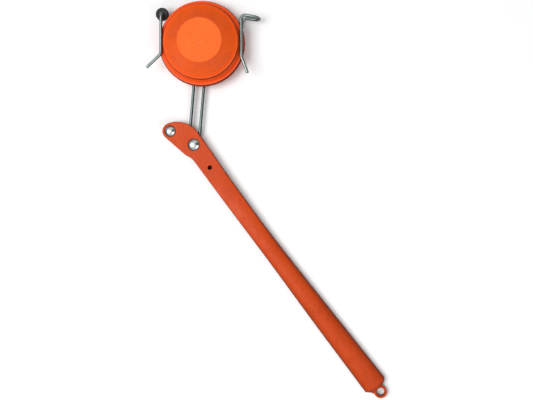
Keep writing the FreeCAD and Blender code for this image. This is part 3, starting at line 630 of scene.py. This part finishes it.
def metal(name, base, dark, rough=(0.16, 0.34), scale=1.0, along=False, grain=0.006, spots=0.5, dents=0.0, flank_shade=0.0, extra=None):
    """plated metal: drawn or polished marks, faint dulled patches, and optional painted shade on a rod's sides"""
    m = Nodes(name)
    if along:
        at = m.new("ShaderNodeAttribute", attribute_name="along")
        vec = m.coords((45, 700, 700), source=at.outputs["Vector"])
        streak = m.noise(1.0, 3, 0.5, vec)
    else:
        streak = m.noise(900.0 * scale, 4, 0.6)
    dull = m.noise(160.0 * scale, 5, 0.65)
    spot = m.ramp(m.noise(520.0 * scale, 3, 0.5), (0.60, 0.72, 0.0, spots))
    col = m.mix(m.ramp(streak, (0.35, 0.68, 0.0, 1.0)), base, dark)
    col = m.mix(spot, col, tuple(c * 0.72 for c in dark))
    if flank_shade:
        # painted shade: the sides of a rod are darkened, standing in for the dark surroundings they would reflect
        sep = m.new("ShaderNodeSeparateXYZ")
        m.link(m.tc.outputs["Normal"], sep.inputs["Vector"])
        up = m.math("ABSOLUTE", sep.outputs["Z"], 0.0)
        col = m.mix(m.ramp(up, (0.40, 0.96, flank_shade, 0.0)), col, tuple(c * 0.30 for c in dark))
    if extra:
        col = extra(m, col)
    rgh = m.ramp(m.math("ADD", m.math("MULTIPLY", dull, 0.6), m.math("MULTIPLY", streak, 0.4)), (0.35, 0.65, rough[0], rough[1]))
    nrm = m.bump(streak, grain, 0.6)
    if dents:
        # the setting tool leaves shallow flats
        nrm = m.bump(m.noise(420.0, 2, 0.4), dents, 0.5, nrm)
    return m.out(Base_Color=col, Roughness=rgh, Normal=nrm, Metallic=1.0)


NOSE_W = FRAME_H @ Vector((-25.1 * MM, -10.5 * MM, 0))
PEG_W = FRAME_H @ Vector((28.0 * MM, -1.0 * MM, 0))
# painted shade colour for the gaps round the rivet heads
GAP_SHADE = (0.060, 0.016, 0.008)


def stake_painted_shade(m, col):
    """painted shade: dark rings in the gaps round the rivet heads, a dark locating hole, and the far end darkened as if
    the light fell off along the handle
    """
    # painted shade: darker towards the far end, as if the light fell off along the handle
    col = m.mix(m.ramp(m.around(P), (110 * MM, 250 * MM, 0.0, 0.5)), col, (0.80, 0.80, 0.80), "MULTIPLY")
    # painted shade in the gaps between the rivet heads and their recesses
    for c, r in ((P, 6.1), (NOSE_W, 5.7)):
        col = m.mix(m.ramp(m.around(c), ((r - 0.25) * MM, (r + 0.35) * MM, 0.88, 0.0)), col, GAP_SHADE)
    # painted shade down the locating hole and on the peg seen through it
    return m.mix(m.ramp(m.around(PEG_W), (1.9 * MM, 2.5 * MM, 0.90, 0.0)), col, (0.14, 0.004, 0.003))


def flange_painted_light(m, col):
    """painted light: the wall under the front cover painted paler, painted shade under the cover's edge and in the line
    slot, and a painted highlight on the skirt's corner
    """
    r, z = m.around(C), m.height()
    # painted light: the wall under the cover's edge, in the cover's shade, is painted a paler orange
    side = m.math("MULTIPLY", m.ramp(z, (15.6 * MM, 16.2 * MM, 0.0, 0.90)), m.ramp(r, (36.6 * MM, 36.9 * MM, 0.0, 1.0)))
    col = m.mix(side, col, (0.96, 0.105, 0.006))
    # painted shade under the front cover's edge
    seam_shade = m.math("MULTIPLY", m.ramp(z, (18.8 * MM, 20.6 * MM, 0.0, 0.90)), m.ramp(r, (36.6 * MM, 36.9 * MM, 0.0, 1.0)))
    col = m.mix(seam_shade, col, (0.16, 0.014, 0.006))
    # painted shade in the line slot between the flanges
    slot = m.math("MULTIPLY", m.band(z, 10.7, 11.6, 14.3, 14.9), m.ramp(r, (37.0 * MM, 40.0 * MM, 0.0, 0.86)))
    col = m.mix(slot, col, (0.14, 0.034, 0.018))
    # painted highlight on the skirt's outer corner
    skirt_highlight = m.math("MULTIPLY", m.ramp(z, (14.9 * MM, 15.2 * MM, 0.0, 0.75)), m.band(r, 40.6, 41.0, 41.5, 41.9))
    return m.mix(skirt_highlight, col, (0.93, 0.150, 0.040))


def dish_scuffs_and_painted_light(m, col):
    """scuffed cone with a brighter, deeper orange band near its edge, a painted highlight on its rounded lip and
    painted shade at its outer edge
    """
    r = m.around(C)
    patch = m.ramp(m.noise(28.0, 4, 0.55, distortion=0.8), (0.40, 0.66, 0.0, 0.50))
    inner = m.ramp(r, (23.0 * MM, 33.5 * MM, 1.0, 0.25))
    col = m.mix(m.math("MULTIPLY", patch, inner), col, (0.60, 0.080, 0.024))
    speck = m.ramp(m.noise(900.0, 3, 0.5), (0.66, 0.72, 0.0, 0.55))
    col = m.mix(m.math("MULTIPLY", speck, inner), col, (0.20, 0.03, 0.01))
    col = m.mix(m.band(r, 33.0, 34.2, 35.6, 36.1), col, (0.83, 0.082, 0.002))
    # painted highlight on the rounded lip
    col = m.mix(m.band(r, 35.6, 36.0, 36.4, 36.8), col, (0.80, 0.120, 0.026))
    # painted shade at the dish's outer edge, where it overhangs the flange
    return m.mix(m.ramp(r, (36.45 * MM, 36.85 * MM, 0.0, 0.88)), col, (0.20, 0.024, 0.010))


def cap_marks(m, col):
    """the gate mark below the middle and faint drag lines"""
    gate = FRAME_C @ Vector((0.0, -5.5 * MM, 0))
    drag = m.noise(1.0, 4, 0.6, m.coords((260, 60, 60), (0, 0, 0.1)), distortion=0.4)
    col = m.mix(m.ramp(drag, (0.50, 0.68, 0.0, 0.30)), col, (0.82, 0.105, 0.016))
    col = m.mix(m.ramp(m.around(C), (20.6 * MM, 21.4 * MM, 0.0, 0.6)), col, (0.93, 0.135, 0.018))
    d = m.around(gate)
    col = m.mix(m.ramp(d, (0.35 * MM, 0.85 * MM, 0.75, 0.0)), col, (0.30, 0.025, 0.006))
    return m.mix(m.band(d, 0.8, 1.1, 1.3, 1.7), col, (0.95, 0.17, 0.05))


def wire_marks(m, col):
    """the wire is darker near the pivot, dimmed to about half within 60 mm and back to full by 85 mm"""
    return m.mix(m.ramp(m.around(P), (60 * MM, 85 * MM, 1.0, 0.0)), col, (0.50, 0.52, 0.53), "MULTIPLY")


HANDLE = plastic("handle_plastic", (0.615, 0.066, 0.008), (0.555, 0.056, 0.006), (0.68, 0.100, 0.026), turn=0.9, grain=0.022, spec=0.16,
                 side_shade=1.0, upright=(0.55, 0.97), extra=stake_painted_shade, mottle=0.45)
COVER = plastic("cover_plastic", (0.610, 0.065, 0.008), (0.550, 0.055, 0.006), (0.68, 0.100, 0.026), turn=0.9, grain=0.022, spec=0.16,
                extra=stake_painted_shade)
SPOOL = plastic("spool_plastic", (0.86, 0.074, 0.0006), (0.81, 0.064, 0.0004), (0.90, 0.11, 0.012), rough=(0.30, 0.44), grain=0.008, scuff=0.15,
                spec=0.16, side_shade=0.35, extra=flange_painted_light)
DISH = plastic("dish_plastic", (0.745, 0.088, 0.006), (0.655, 0.076, 0.007), (0.82, 0.13, 0.028), rough=(0.38, 0.56), grain=0.014, scuff=0.35,
               blotch=46.0, spec=0.14, extra=dish_scuffs_and_painted_light)
CAP = plastic("cap_plastic", (0.965, 0.150, 0.018), (0.925, 0.135, 0.014), (1.0, 0.19, 0.04), rough=(0.40, 0.52), grain=0.008, scuff=0.15,
              blotch=60.0, spec=0.15, side_shade=0.45, extra=cap_marks)
WIRE = metal("spring_wire", (0.31, 0.368, 0.362), (0.25, 0.300, 0.292), rough=(0.32, 0.40), along=True, grain=0.0004, spots=0.10, flank_shade=0.95,
             extra=wire_marks)
RIVET = metal("rivet_metal", (0.86, 0.89, 0.885), (0.70, 0.74, 0.74), rough=(0.10, 0.20), grain=0.002, spots=0.10, dents=0.16)
AXLE = metal("axle_steel", (0.56, 0.57, 0.58), (0.40, 0.41, 0.42), rough=(0.2, 0.34))
ZINC = metal("screw_zinc", (0.62, 0.64, 0.66), (0.46, 0.48, 0.50), rough=(0.22, 0.38))
NYLON = plastic("bearing_nylon", srgb(226, 222, 208), srgb(214, 208, 190), srgb(238, 236, 226), rough=(0.42, 0.55), grain=0.008, scuff=0.2)
CARRIER = plastic("carrier_plastic", (0.022, 0.022, 0.024), (0.014, 0.014, 0.015), (0.05, 0.05, 0.052), rough=(0.36, 0.52), grain=0.018)


def rubber():
    m = Nodes("rubber_black")
    big = m.noise(170.0, 5, 0.6)
    dust = m.ramp(m.noise(700.0, 5, 0.7), (0.55, 0.75, 0.0, 0.5))
    col = m.mix(m.ramp(big, (0.35, 0.65, 0.0, 1.0)), (0.010, 0.013, 0.014), (0.018, 0.022, 0.024))
    col = m.mix(dust, col, (0.050, 0.056, 0.058))
    rgh = m.ramp(m.noise(300.0, 4, 0.6), (0.3, 0.7, 0.46, 0.70))
    nrm = m.bump(m.noise(1600.0, 4, 0.65), 0.03, 0.8)
    return m.out(Base_Color=col, Roughness=rgh, Normal=nrm, Specular_IOR_Level=0.4)


RUBBER = rubber()
MATS = {"handle_plastic": HANDLE, "cover_plastic": COVER, "spool_plastic": SPOOL, "dish_plastic": DISH, "cap_plastic": CAP,
        "spring_wire": WIRE, "rivet_metal": RIVET, "axle_steel": AXLE, "screw_zinc": ZINC, "bearing_nylon": NYLON,
        "carrier_plastic": CARRIER, "rubber_black": RUBBER}
for sp in frame["record"]["subparts"]:
    o = NODES[sp["node"]]
    for s in o.material_slots:
        s.material = MATS[sp["material_slot"]]

# ---- stake handle ---------------------------------------------------------------------------
NOSE, NOSE_R = (-25.1, -10.5), 8.0
BROW_C = (-8.0, -15.4)
d_ = Vector(NOSE) - Vector(BROW_C)
d_.normalize()
BROW_T = (NOSE[0] + d_.x * NOSE_R, NOSE[1] + d_.y * NOSE_R)
w_ = Vector(NOSE) - Vector((0.5, -13.5))
ang_ = math.atan2(w_.y, w_.x) + math.asin(NOSE_R / w_.length)
tl_ = math.sqrt(w_.length ** 2 - NOSE_R ** 2)
JAW_T = (0.5 + math.cos(ang_) * tl_, -13.5 + math.sin(ang_) * tl_)


def circ(c, r, a):
    return (c[0] + r * math.cos(a), c[1] + r * math.sin(a))


a_b = math.atan2(BROW_T[1] - BROW_C[1], BROW_T[0] - BROW_C[0])
n_a = math.atan2(BROW_T[1] - NOSE[1], BROW_T[0] - NOSE[0])
n_b = math.atan2(JAW_T[1] - NOSE[1], JAW_T[0] - NOSE[0])
if n_b < n_a:
    n_b += 2 * math.pi

ST_U = [39.0, 84.0, 124.0, 165.0, 211.0, 257.0, 302.3]
f_l = spline(ST_U, [-10.25, -10.8, -11.2, -11.9, -12.8, -13.4, -13.8])
f_r = spline(ST_U, [8.45, 7.3, 6.85, 7.45, 8.35, 9.3, 10.3])
f_s = spline(ST_U, [9.75, 8.9, 7.8, 7.2, 6.8, 6.6, 6.5])
f_c = spline(ST_U, [10.0, 10.4, 10.9, 11.3, 11.5, 11.5, 11.4])


def head_part(end_u, right_v, left_v):
    """counter-clockwise from the left end of the jaw side to the right end of the brow side"""
    brow = [circ(BROW_C, 26.0, math.pi / 2 + (a_b - math.pi / 2) * k / 22) for k in range(23)]
    nose = [circ(NOSE, NOSE_R, n_a + (n_b - n_a) * k / 30) for k in range(1, 31)]
    jaw = [(0.5, -13.5)] + arc3((0.5, -13.5), (4.3, -12.45), (7.2, -11.0), 8) + arc3((7.2, -11.0), (10.6, -10.05), (14.5, -9.8), 8)
    return [(end_u, right_v)] + brow + nose + jaw + [(end_u, left_v)]


us = np.linspace(41.0, 301.6, 150)
left_edge = [(float(u), float(f_l(u))) for u in us]
right_edge = [(float(u), float(f_r(u))) for u in us[::-1]]
EYE, EYE_R, EYE_H = (311.3, -1.5), 6.5, 4.0
a_r, a_l = math.radians(112.0), math.radians(-104.0)
tr_, tl2 = circ(EYE, EYE_R, a_r), circ(EYE, EYE_R, a_l)
end_part = [(302.3, -13.8, 0.7, 4), (306.0, -9.8, 0.4, 3)]
end_part2 = arc3((306.3, -9.6), ((tl2[0] + 306.3) / 2 + 0.1, (tl2[1] - 9.6) / 2 + 0.12), tl2, 5)
eye_arc = arc3(tl2, (EYE[0] + EYE_R, EYE[1]), tr_, 46)
head = head_part(40.0, 8.45, -10.25)
HAND = head[1:] + left_edge + end_part + [(306.3, -9.6)] + end_part2 + eye_arc + [(306.0, tr_[1], 0.5, 4), (306.0, 6.3, 0.4, 3), (302.3, 10.3, 0.7, 4)] + right_edge + [head[0]]
HAND = resample(filleted(HAND), 1.0)

SLOT_LO, SLOT_HI = math.radians(37.0), math.radians(179.1)
pl_ = (math.sin(SLOT_LO) * 6.2, -math.cos(SLOT_LO) * 6.2)
ph_ = (-math.sin(SLOT_HI) * 7.6, math.cos(SLOT_HI) * 7.6)
ml_ = (math.atan2(pl_[1], pl_[0]) + math.atan2(ph_[1], ph_[0])) / 2
far_l = (pl_[0] + math.cos(SLOT_LO) * 60, pl_[1] + math.sin(SLOT_LO) * 60)
far_h = (ph_[0] + math.cos(SLOT_HI) * 60, ph_[1] + math.sin(SLOT_HI) * 60)
arc_hl = arc3(ph_, (6.9 * math.cos(ml_), 6.9 * math.sin(ml_)), pl_, 8)
SLOT = [far_l, (far_h[0], 60.0), far_h, ph_] + arc_hl
SLOT_LINE = resample([far_h, ph_] + arc_hl + [far_l], 0.3)
SLOT_LINE = SLOT_LINE[:next(i for i, p in enumerate(SLOT_LINE) if math.hypot(p[0] - far_l[0], p[1] - far_l[1]) < 1e-6) + 1]
ROOM = ring_pts(0, 0, 7.6, 56)
RIBS = [filleted([(48.0 + 48.0 * k, -7.0, 1.2, 3), (91.5 + 48.0 * k, -7.0, 1.2, 3), (91.5 + 48.0 * k, 4.6, 1.2, 3), (48.0 + 48.0 * k, 4.6, 1.2, 3)]) for k in range(5)]
RIBS = [resample(r, 2.2) for r in RIBS]


def rad(c, q):
    return np.hypot(q[:, 0] - c[0], q[:, 1] - c[1])


def handle_regions(cen):
    n = len(cen)
    body = inside(HAND, cen)
    top = np.full(n, -1)
    bot = np.full(n, -1)
    top[body] = 0
    top[body & (cen[:, 0] > 306.0)] = 1
    bot[body] = 0
    bot[body & (cen[:, 0] < 38.2)] = 1
    slot = (inside(SLOT, cen) | (rad((0, 0), cen) < 7.595)) & (cen[:, 0] < 38.2) & body
    bot[slot] = 2
    for r_ in RIBS:
        bot[inside(r_, cen)] = 3
    top[body & (rad((0, 0), cen) < 6.147)] = 2
    top[body & (rad(NOSE, cen) < 5.747)] = 2
    for c, r_ in (((0, 0), 2.05), (NOSE, 2.05), ((28.0, -1.0), 2.2), (EYE, 4.0)):
        hole = rad(c, cen) < r_ - 0.004
        top[hole] = -1
        bot[hole] = -1
    top[~body] = -1

    def main(q):
        u, v = q[:, 0], q[:, 1]
        f = np.clip((u - 302.3) / 3.7, 0, 1)
        l = f_l(u) * (1 - f) - 9.8 * f
        r = f_r(u) * (1 - f) + 6.3 * f
        s = f_s(u) * (1 - f) + 5.6 * f
        c = f_c(u) * (1 - f) + 9.2 * f
        g = np.clip((u - 26.0) / 13.0, 0, 1)
        g = g * g * (3 - 2 * g)
        s = 10.0 * (1 - g) + s * g
        c = 10.0 * (1 - g) + c * g
        h = np.maximum(c - s, 1e-4)
        w = (r - l) / 2
        big = (w * w + h * h) / (2 * h)
        x = np.clip(v - (l + r) / 2, -w, w)
        z = c - big + np.sqrt(np.maximum(big * big - x * x, 0))
        d = np.minimum(distance(HAND, q), np.where(u <= 306.0, 306.0 - u, 9.0))
        re = 0.85 + 0.45 * np.clip((u - 20) / 90, 0, 1)
        z = z - drop_r(d, re)
        for c_, r_, lip in (((0, 0), 6.15, 0.22), (NOSE, 5.75, 0.22), ((28.0, -1.0), 2.2, 0.3)):
            z = z - drop(np.abs(rad(c_, q) - r_), lip) * (rad(c_, q) < r_ + 2)
        return z

    def tab(q):
        d = np.minimum(distance(HAND, q), rad(EYE, q) - EYE_H)
        return 5.6 - drop(np.maximum(d, 0), 1.0)

    def recess(q):
        return np.full(len(q), 9.5)

    def low(q):
        d = distance(HAND, q)
        e = np.maximum(rad(EYE, q) - EYE_H, 0)
        return drop(np.minimum(d, e), 0.5)

    def seat(q):
        return np.full(len(q), 3.0)

    def roof(q):
        return 7.0 + drop(distance(HAND, q), 0.35)

    def pocket(q):
        return np.full(len(q), 3.0)

    return bot, top, {0: low, 1: seat, 2: roof, 3: pocket}, {0: main, 1: tab, 2: recess}


def drop_r(d, r):
    e = np.clip(r - d, 0, None)
    e = np.minimum(e, r)
    return r - np.sqrt(np.maximum(r * r - e * e, 0))


circles = [ring_pts(0, 0, 6.15, 72), ring_pts(*NOSE, 5.75, 68), ring_pts(0, 0, 2.05, 32), ring_pts(*NOSE, 2.05, 32),
           ring_pts(28.0, -1.0, 2.2, 36), ring_pts(*EYE, 4.0, 56), ROOM]
lips = []
for c_, r_, n_, ds in (((0, 0), 6.15, 72, (0.05, 0.22, 0.6)), (NOSE, 5.75, 68, (0.05, 0.22, 0.6)), ((28.0, -1.0), 2.2, 36, (0.06, 0.3, 0.8)),
                       (EYE, 4.0, 56, (0.06, 0.25, 0.55, 1.0))):
    for d__ in ds:
        lips += ring_pts(c_[0], c_[1], r_ + d__, n_)
keep_c = [((0, 0), 6.9), (NOSE, 6.5), ((28.0, -1.0), 3.2), (EYE, 5.6), ((0, 0), 0)]


def ring_ok(q):
    ok = np.ones(len(q), bool)
    for c, r_ in (((0, 0), 6.4), (NOSE, 5.98), (EYE, 4.3)):
        ok &= rad(c, q) > r_
    ok &= ~((np.abs(q[:, 0] - 306.0) < 0.04))
    return ok


hand_pts = offset_rings(HAND, (0.04, 0.16, 0.36, 0.64, 0.98, 1.35), ring_ok)


def grid_ok(q):
    ok = inside(HAND, q) & (distance(HAND, q) > 2.0)
    for c, r_ in keep_c:
        ok &= rad(c, q) > r_
    ok &= np.abs(rad((0, 0), q) - 7.6) > 0.5
    ok &= np.abs(q[:, 0] - 38.2) > 0.5
    for r_ in RIBS:
        ok &= distance(r_, q) > 0.5
    ok &= distance(SLOT_LINE, q, False) > 0.5
    ok &= q[:, 0] < 304.6
    return ok


hand_pts += grid((-34, -20, 307, 14), 1.7, grid_ok)
hand_pts += [p for x in (0.04, 0.16, 0.36, 0.64, 0.98, 1.3) for p in [(306.0 - x, v) for v in np.linspace(-8.9, 3.9, 14)]]
hand_lines = [SLOT_LINE, [(38.2, v) for v in np.linspace(-13, 12, 84)], [(306.0, v) for v in np.linspace(-9.75, 6.2, 17)]]
me = plate_mesh("handle_shell", [HAND] + circles + RIBS, hand_lines, hand_pts + lips, handle_regions, FRAME_H)
handle = weighted(new_object("handle_shell", me, "handle", HANDLE, ["stake_handle"]))

# ---- head cover plate -----------------------------------------------------------------------
rv = 10.6 + (8.45 - 10.6) * (38.0 + 8.0) / 48.0
lv = -9.8 + (-10.25 + 9.8) * (38.0 - 14.5) / 25.5
cov = head_part(38.0, rv, lv)
COV = resample(filleted([(cov[0][0], cov[0][1], 0.3, 3)] + cov[1:-1] + [(cov[-1][0], cov[-1][1], 0.3, 3)]), 1.0)


def cover_regions(cen):
    n = len(cen)
    body = inside(COV, cen)
    top = np.where(body, 0, -1)
    bot = np.where(body, 0, -1)
    peg = rad((28.0, -1.0), cen) < 2.1
    top[peg & body] = 1
    for c in ((0, 0), NOSE):
        bot[body & (rad(c, cen) < 4.797)] = 1
        hole = rad(c, cen) < 2.046
        top[hole] = -1
        bot[hole] = -1

    def up(q):
        return 3.0 - drop(distance(COV, q), 0.3)

    def peg_top(q):
        return 4.0 - drop(np.maximum(2.1 - rad((28.0, -1.0), q), 0), 0.35)

    def under(q):
        z = drop(distance(COV, q), 0.5)
        for c in ((0, 0), NOSE):
            z = z + drop(np.abs(rad(c, q) - 4.8), 0.25)
        return z

    def cbore(q):
        return np.full(len(q), 1.9)

    return bot, top, {0: under, 1: cbore}, {0: up, 1: peg_top}


cov_pts = offset_rings(COV, (0.04, 0.16, 0.34, 0.6), lambda q: np.ones(len(q), bool))
for c_ in ((0, 0), NOSE):
    for d__ in (0.06, 0.25, 0.6):
        cov_pts += ring_pts(c_[0], c_[1], 4.8 + d__, 56)
for d__ in (0.08, 0.35, 0.9):
    cov_pts += ring_pts(28.0, -1.0, 2.1 - d__, 36)
cov_pts += grid((-34, -20, 40, 14), 1.9, lambda q: inside(COV, q) & (distance(COV, q) > 1.4) & (rad((0, 0), q) > 6.0)
                & (rad(NOSE, q) > 6.0) & (rad((28, -1), q) > 2.9))
me = plate_mesh("cover_shell", [COV, ring_pts(0, 0, 4.8, 56), ring_pts(*NOSE, 4.8, 56), ring_pts(0, 0, 2.05, 32), ring_pts(*NOSE, 2.05, 32),
                                ring_pts(28.0, -1.0, 2.1, 36)], [], cov_pts, cover_regions, FRAME_H)
cover = weighted(new_object("cover_shell", me, "handle", COVER, ["head_cover_plate"]))


# ---- rivets ---------------------------------------------------------------------------------
def rivet(name, c, head_r, node):
    z0 = 9.5
    prof = [(0.0, 0.25), (2.7, 0.42, 0.5, 4), (3.3, 0.75, 0.3, 3), (3.3, 1.3), (2.0, 1.3), (2.0, z0), (head_r - 0.15, z0, 0.1, 2), (head_r, z0 + 0.18, 0.12, 3),
            (head_r, z0 + 0.62, 0.25, 4)]
    h, b = 1.9, head_r - 0.12
    rs = (b * b + h * h) / (2 * h)
    phi = math.asin(b / rs)
    prof += [(rs * math.sin(phi * (1 - k / 16)), z0 + 2.6 - rs + rs * math.cos(phi * (1 - k / 16))) for k in range(0, 17)]
    prof[-1] = (0.0, z0 + 2.6)
    place = FRAME_H @ Matrix.Translation(Vector((c[0] * MM, c[1] * MM, 0)))
    me = turned(name, prof, place, 72)
    return weighted(new_object(name, me, "handle", RIVET, [node]))


rivet("pivot_rivet_polished", (0, 0), 5.5, "pivot_rivet")
rivet("stop_rivet_polished", NOSE, 5.1, "stop_rivet")


# ---- spring wire ----------------------------------------------------------------------------
def rel(x, y, z):
    return Vector((P.x + x * MM, P.y + y * MM, z * MM))


def wire_at(t, s, z):
    return FRAME_A @ Vector(((t - 0.7) * MM, s * MM, z * MM))


WZ, FZ, LN, LW = 5.0, 17.5, 5.05, 7.0
tip, top_ = rel(65.6, 125.4, 0), rel(48.2, 128.3, 0)
half = (FZ - WZ) / 2
wpts = [rel(-45.6, 75.7, FZ), rel(-31.5, 89.2, FZ), Vector((R.x, R.y, FZ * MM)), Vector((R.x, R.y, WZ * MM)),
        wire_at(-LW, 121.2, WZ), wire_at(-LW, 67.0, WZ), wire_at(-LN, 57.5, WZ), wire_at(-LN, -LN, WZ), wire_at(LN, -LN, WZ),
        wire_at(LN, 57.5, WZ), wire_at(LW, 67.0, WZ), wire_at(LW, 122.1, WZ), rel(47.3, 113.0, WZ),
        Vector((top_.x + 0.2 * MM, top_.y, WZ * MM)), Vector((tip.x, tip.y, WZ * MM)), Vector((tip.x, tip.y, FZ * MM)),
        Vector((top_.x, top_.y, FZ * MM)), rel(48.4, 86.4, FZ), rel(54.5, 70.4, FZ)]
wrad = [6.0, 4.0, 3.5, 8.0, 14.0, 14.0, LN - 0.0005, LN - 0.0005, 14.0, 14.0, 6.0, 5.5, 5.0, half - 0.0005, half - 0.0005, 3.6, 8.0]
me = tube("arm_wire", wpts, wrad, 1.5)
wire = new_object("arm_wire", me, "arm", WIRE, ["wire_frame"])

# ---- spool ----------------------------------------------------------------------------------
me = turned("back_flange_shell", [
    (7.8, 10.5), (41.0, 10.5), (42.15, 10.5, 0.2, 3), (42.75, 11.1, 0.4, 4), (42.75, 12.5, 0.45, 5), (41.9, 12.5), (27.0, 12.5), (7.8, 12.5)], FRAME_C, 256)
for k in range(3):
    a = math.radians(90 + 120 * k)
    off = FRAME_C @ Matrix.Translation(Vector((15.0 * MM * math.cos(a), 15.0 * MM * math.sin(a), 0)))
    cut = turned("cut", [(0, 9.0), (3.4, 9.0), (3.2, 10.38), (3.0, 10.55, 0.15, 3), (2.9, 10.8), (2.9, 11.7), (1.6, 11.7), (1.6, 14.0), (0, 14.0)], off, 48)
    me = boolean(me, cut)
back = weighted(new_object("back_flange_shell", me, "spool", SPOOL, ["spool_back_flange"]))

me = turned("front_flange_shell", [
    (7.9, 17.6), (30.0, 17.6), (35.9, 17.6, 0.5, 4), (37.6, 14.1, 0.5, 4), (41.2, 14.1, 0.15, 3), (41.6, 14.5, 0.15, 3), (41.6, 15.5, 0.5, 6),
    (41.0, 15.5), (38.6, 15.5, 0.45, 5), (37.2, 20.4, 1.2, 4), (37.2, 21.6), (35.3, 21.6), (34.1, 19.2, 0.8, 4), (7.9, 19.2)], FRAME_C, 256)
front = weighted(new_object("front_flange_shell", me, "spool", SPOOL, ["spool_front_flange"]))

me = turned("front_cover_shell", [
    (37.2, 21.6), (37.2, 22.15, 0.25, 4), (36.55, 22.68, 0.35, 5), (29.6, 25.86), (22.75, 29.0, 0.5, 5), (21.6, 29.0), (20.4, 29.0), (20.4, 27.3),
    (22.0, 27.3), (34.6, 21.6)], FRAME_C, 256)
dish = weighted(new_object("front_cover_shell", me, "spool", DISH, ["spool_front_cover"]))

me = turned("hub_cap_shell", [
    (0.0, 29.0), (18.2, 29.0), (18.2, 26.4, 0.2, 2), (20.3, 26.4, 0.2, 2), (20.3, 29.0), (22.0, 29.0), (22.0, 29.6, 0.35, 5), (21.5, 30.0, 0.3, 4),
    (20.2, 30.0), (12.0, 30.0), (2.0, 30.0), (0.0, 30.0)], FRAME_C, 256)
cap = weighted(new_object("hub_cap_shell", me, "spool", CAP, ["hub_cap"]))

# ---- brake roller ---------------------------------------------------------------------------
me = turned("roller_tyre", [
    (2.7, 8.8), (4.85, 8.8, 0.4, 3), (6.45, 9.6, 1.1, 6), (6.45, 12.6, 1.1, 6), (5.3, 13.4, 0.5, 5), (4.2, 13.4, 0.12, 3), (3.95, 12.9, 0.15, 3), (2.7, 12.9)], FRAME_R, 96)
tyre = weighted(new_object("roller_tyre", me, "roller", RUBBER, ["brake_roller"]))

# ---- carried-over nodes: eased edges --------------------------------------------------------
for name, width in (("axle_saddle", 0.45), ("saddle_clamp", 0.45), ("clamp_screws", 0.12), ("axle_push_nut", 0.12),
                    ("spool_screws", 0.1), ("pivot_block", 0.2), ("rivet_washers", 0.08), ("roller_sleeve", 0.08),
                    ("axle_pin", 0.12), ("spool_core", 0.15)):
    o = NODES[name]
    w = o.modifiers.new("weld", "WELD")
    w.merge_threshold = 1e-6
    b = o.modifiers.new("ease", "BEVEL")
    b.width = width * MM
    b.segments = 3
    b.limit_method = "ANGLE"
    b.angle_limit = math.radians(40)
    b.harden_normals = False
    weighted(o)

# ---- stage, light, camera -------------------------------------------------------------------
bm = bmesh.new()
bmesh.ops.create_grid(bm, x_segments=8, y_segments=8, size=1.6)
fl = bpy.data.meshes.new("floor")
bm.to_mesh(fl)
bm.free()
floor = bpy.data.objects.new("floor", fl)
floor.location = (0, 0, -0.0001)
SC.collection.objects.link(floor)
fm = bpy.data.materials.new("floor_pale")
fm.use_nodes = True
fb = fm.node_tree.nodes["Principled BSDF"]
fb.inputs["Base Color"].default_value = (0.95, 0.95, 0.95, 1)
fb.inputs["Roughness"].default_value = 0.9
fb.inputs["Specular IOR Level"].default_value = 0.1
fl.materials.append(fm)

world = bpy.data.worlds.new("studio")
SC.world = world
world.use_nodes = True
wt = world.node_tree
bg = wt.nodes["Background"]
bg.inputs["Color"].default_value = (1, 1, 1, 1)
# bright tent overhead, darker room towards the horizon, a dark boom to the right of overhead
tcw = wt.nodes.new("ShaderNodeTexCoord")
sepw = wt.nodes.new("ShaderNodeSeparateXYZ")
wt.links.new(tcw.outputs["Generated"], sepw.inputs["Vector"])


def w_range(fac, a, b, lo, hi):
    n = wt.nodes.new("ShaderNodeMapRange")
    n.interpolation_type = "SMOOTHSTEP"
    for k, v in (("From Min", a), ("From Max", b), ("To Min", lo), ("To Max", hi)):
        n.inputs[k].default_value = v
    wt.links.new(fac, n.inputs["Value"])
    return n.outputs["Result"]


def w_math(op, a, b):
    n = wt.nodes.new("ShaderNodeMath")
    n.operation = op
    wt.links.new(a, n.inputs[0])
    wt.links.new(b, n.inputs[1])
    return n.outputs[0]


dot = wt.nodes.new("ShaderNodeVectorMath")
dot.operation = "DOT_PRODUCT"
wt.links.new(tcw.outputs["Generated"], dot.inputs[0])
dot.inputs[1].default_value = tuple(Vector((0.64, 0.24, 0.73)).normalized())
sky = w_range(sepw.outputs["Z"], 0.05, 0.80, 0.06, 0.66)
wt.links.new(w_math("MULTIPLY", sky, w_range(dot.outputs["Value"], 0.90, 0.97, 1.0, 0.12)), bg.inputs["Strength"])


def area(name, loc, target, size, power, size_y=None):
    li = bpy.data.lights.new(name, "AREA")
    li.shape = "RECTANGLE"
    li.size = size
    li.size_y = size_y or size
    li.energy = power
    ob = bpy.data.objects.new(name, li)
    ob.location = loc
    ob.rotation_mode = "QUATERNION"
    ob.rotation_quaternion = (Vector(target) - Vector(loc)).to_track_quat("-Z", "Y")
    SC.collection.objects.link(ob)
    return ob


area("key", (-1.0, -0.05, 1.75), (-0.03, 0.0, 0), 1.25, 27.5)
area("rim", (0.78, -0.60, 0.98), (-0.05, 0.08, 0), 0.80, 3.6, 0.22)

cam = bpy.data.cameras.new("camera")
cam_o = bpy.data.objects.new("camera", cam)
SC.collection.objects.link(cam_o)
SC.camera = cam_o
# the lens looks straight down from 0.7 m over the handle's top face, from a point right of the pivot
cam_o.location = (P.x + 0.11625, P.y - 0.0553, 0.710)
cam_o.rotation_euler = (0, 0, 0)
cam.sensor_width = 36.0
cam.lens = 36.0 * 700.0 / 533.0
cam.shift_x = -(310.0 - 266.5) / 533.0
cam.shift_y = 0.0
cam.clip_start = 0.01
cam.dof.use_dof = False

SC.view_settings.view_transform = "Standard"
SC.view_settings.look = "None"
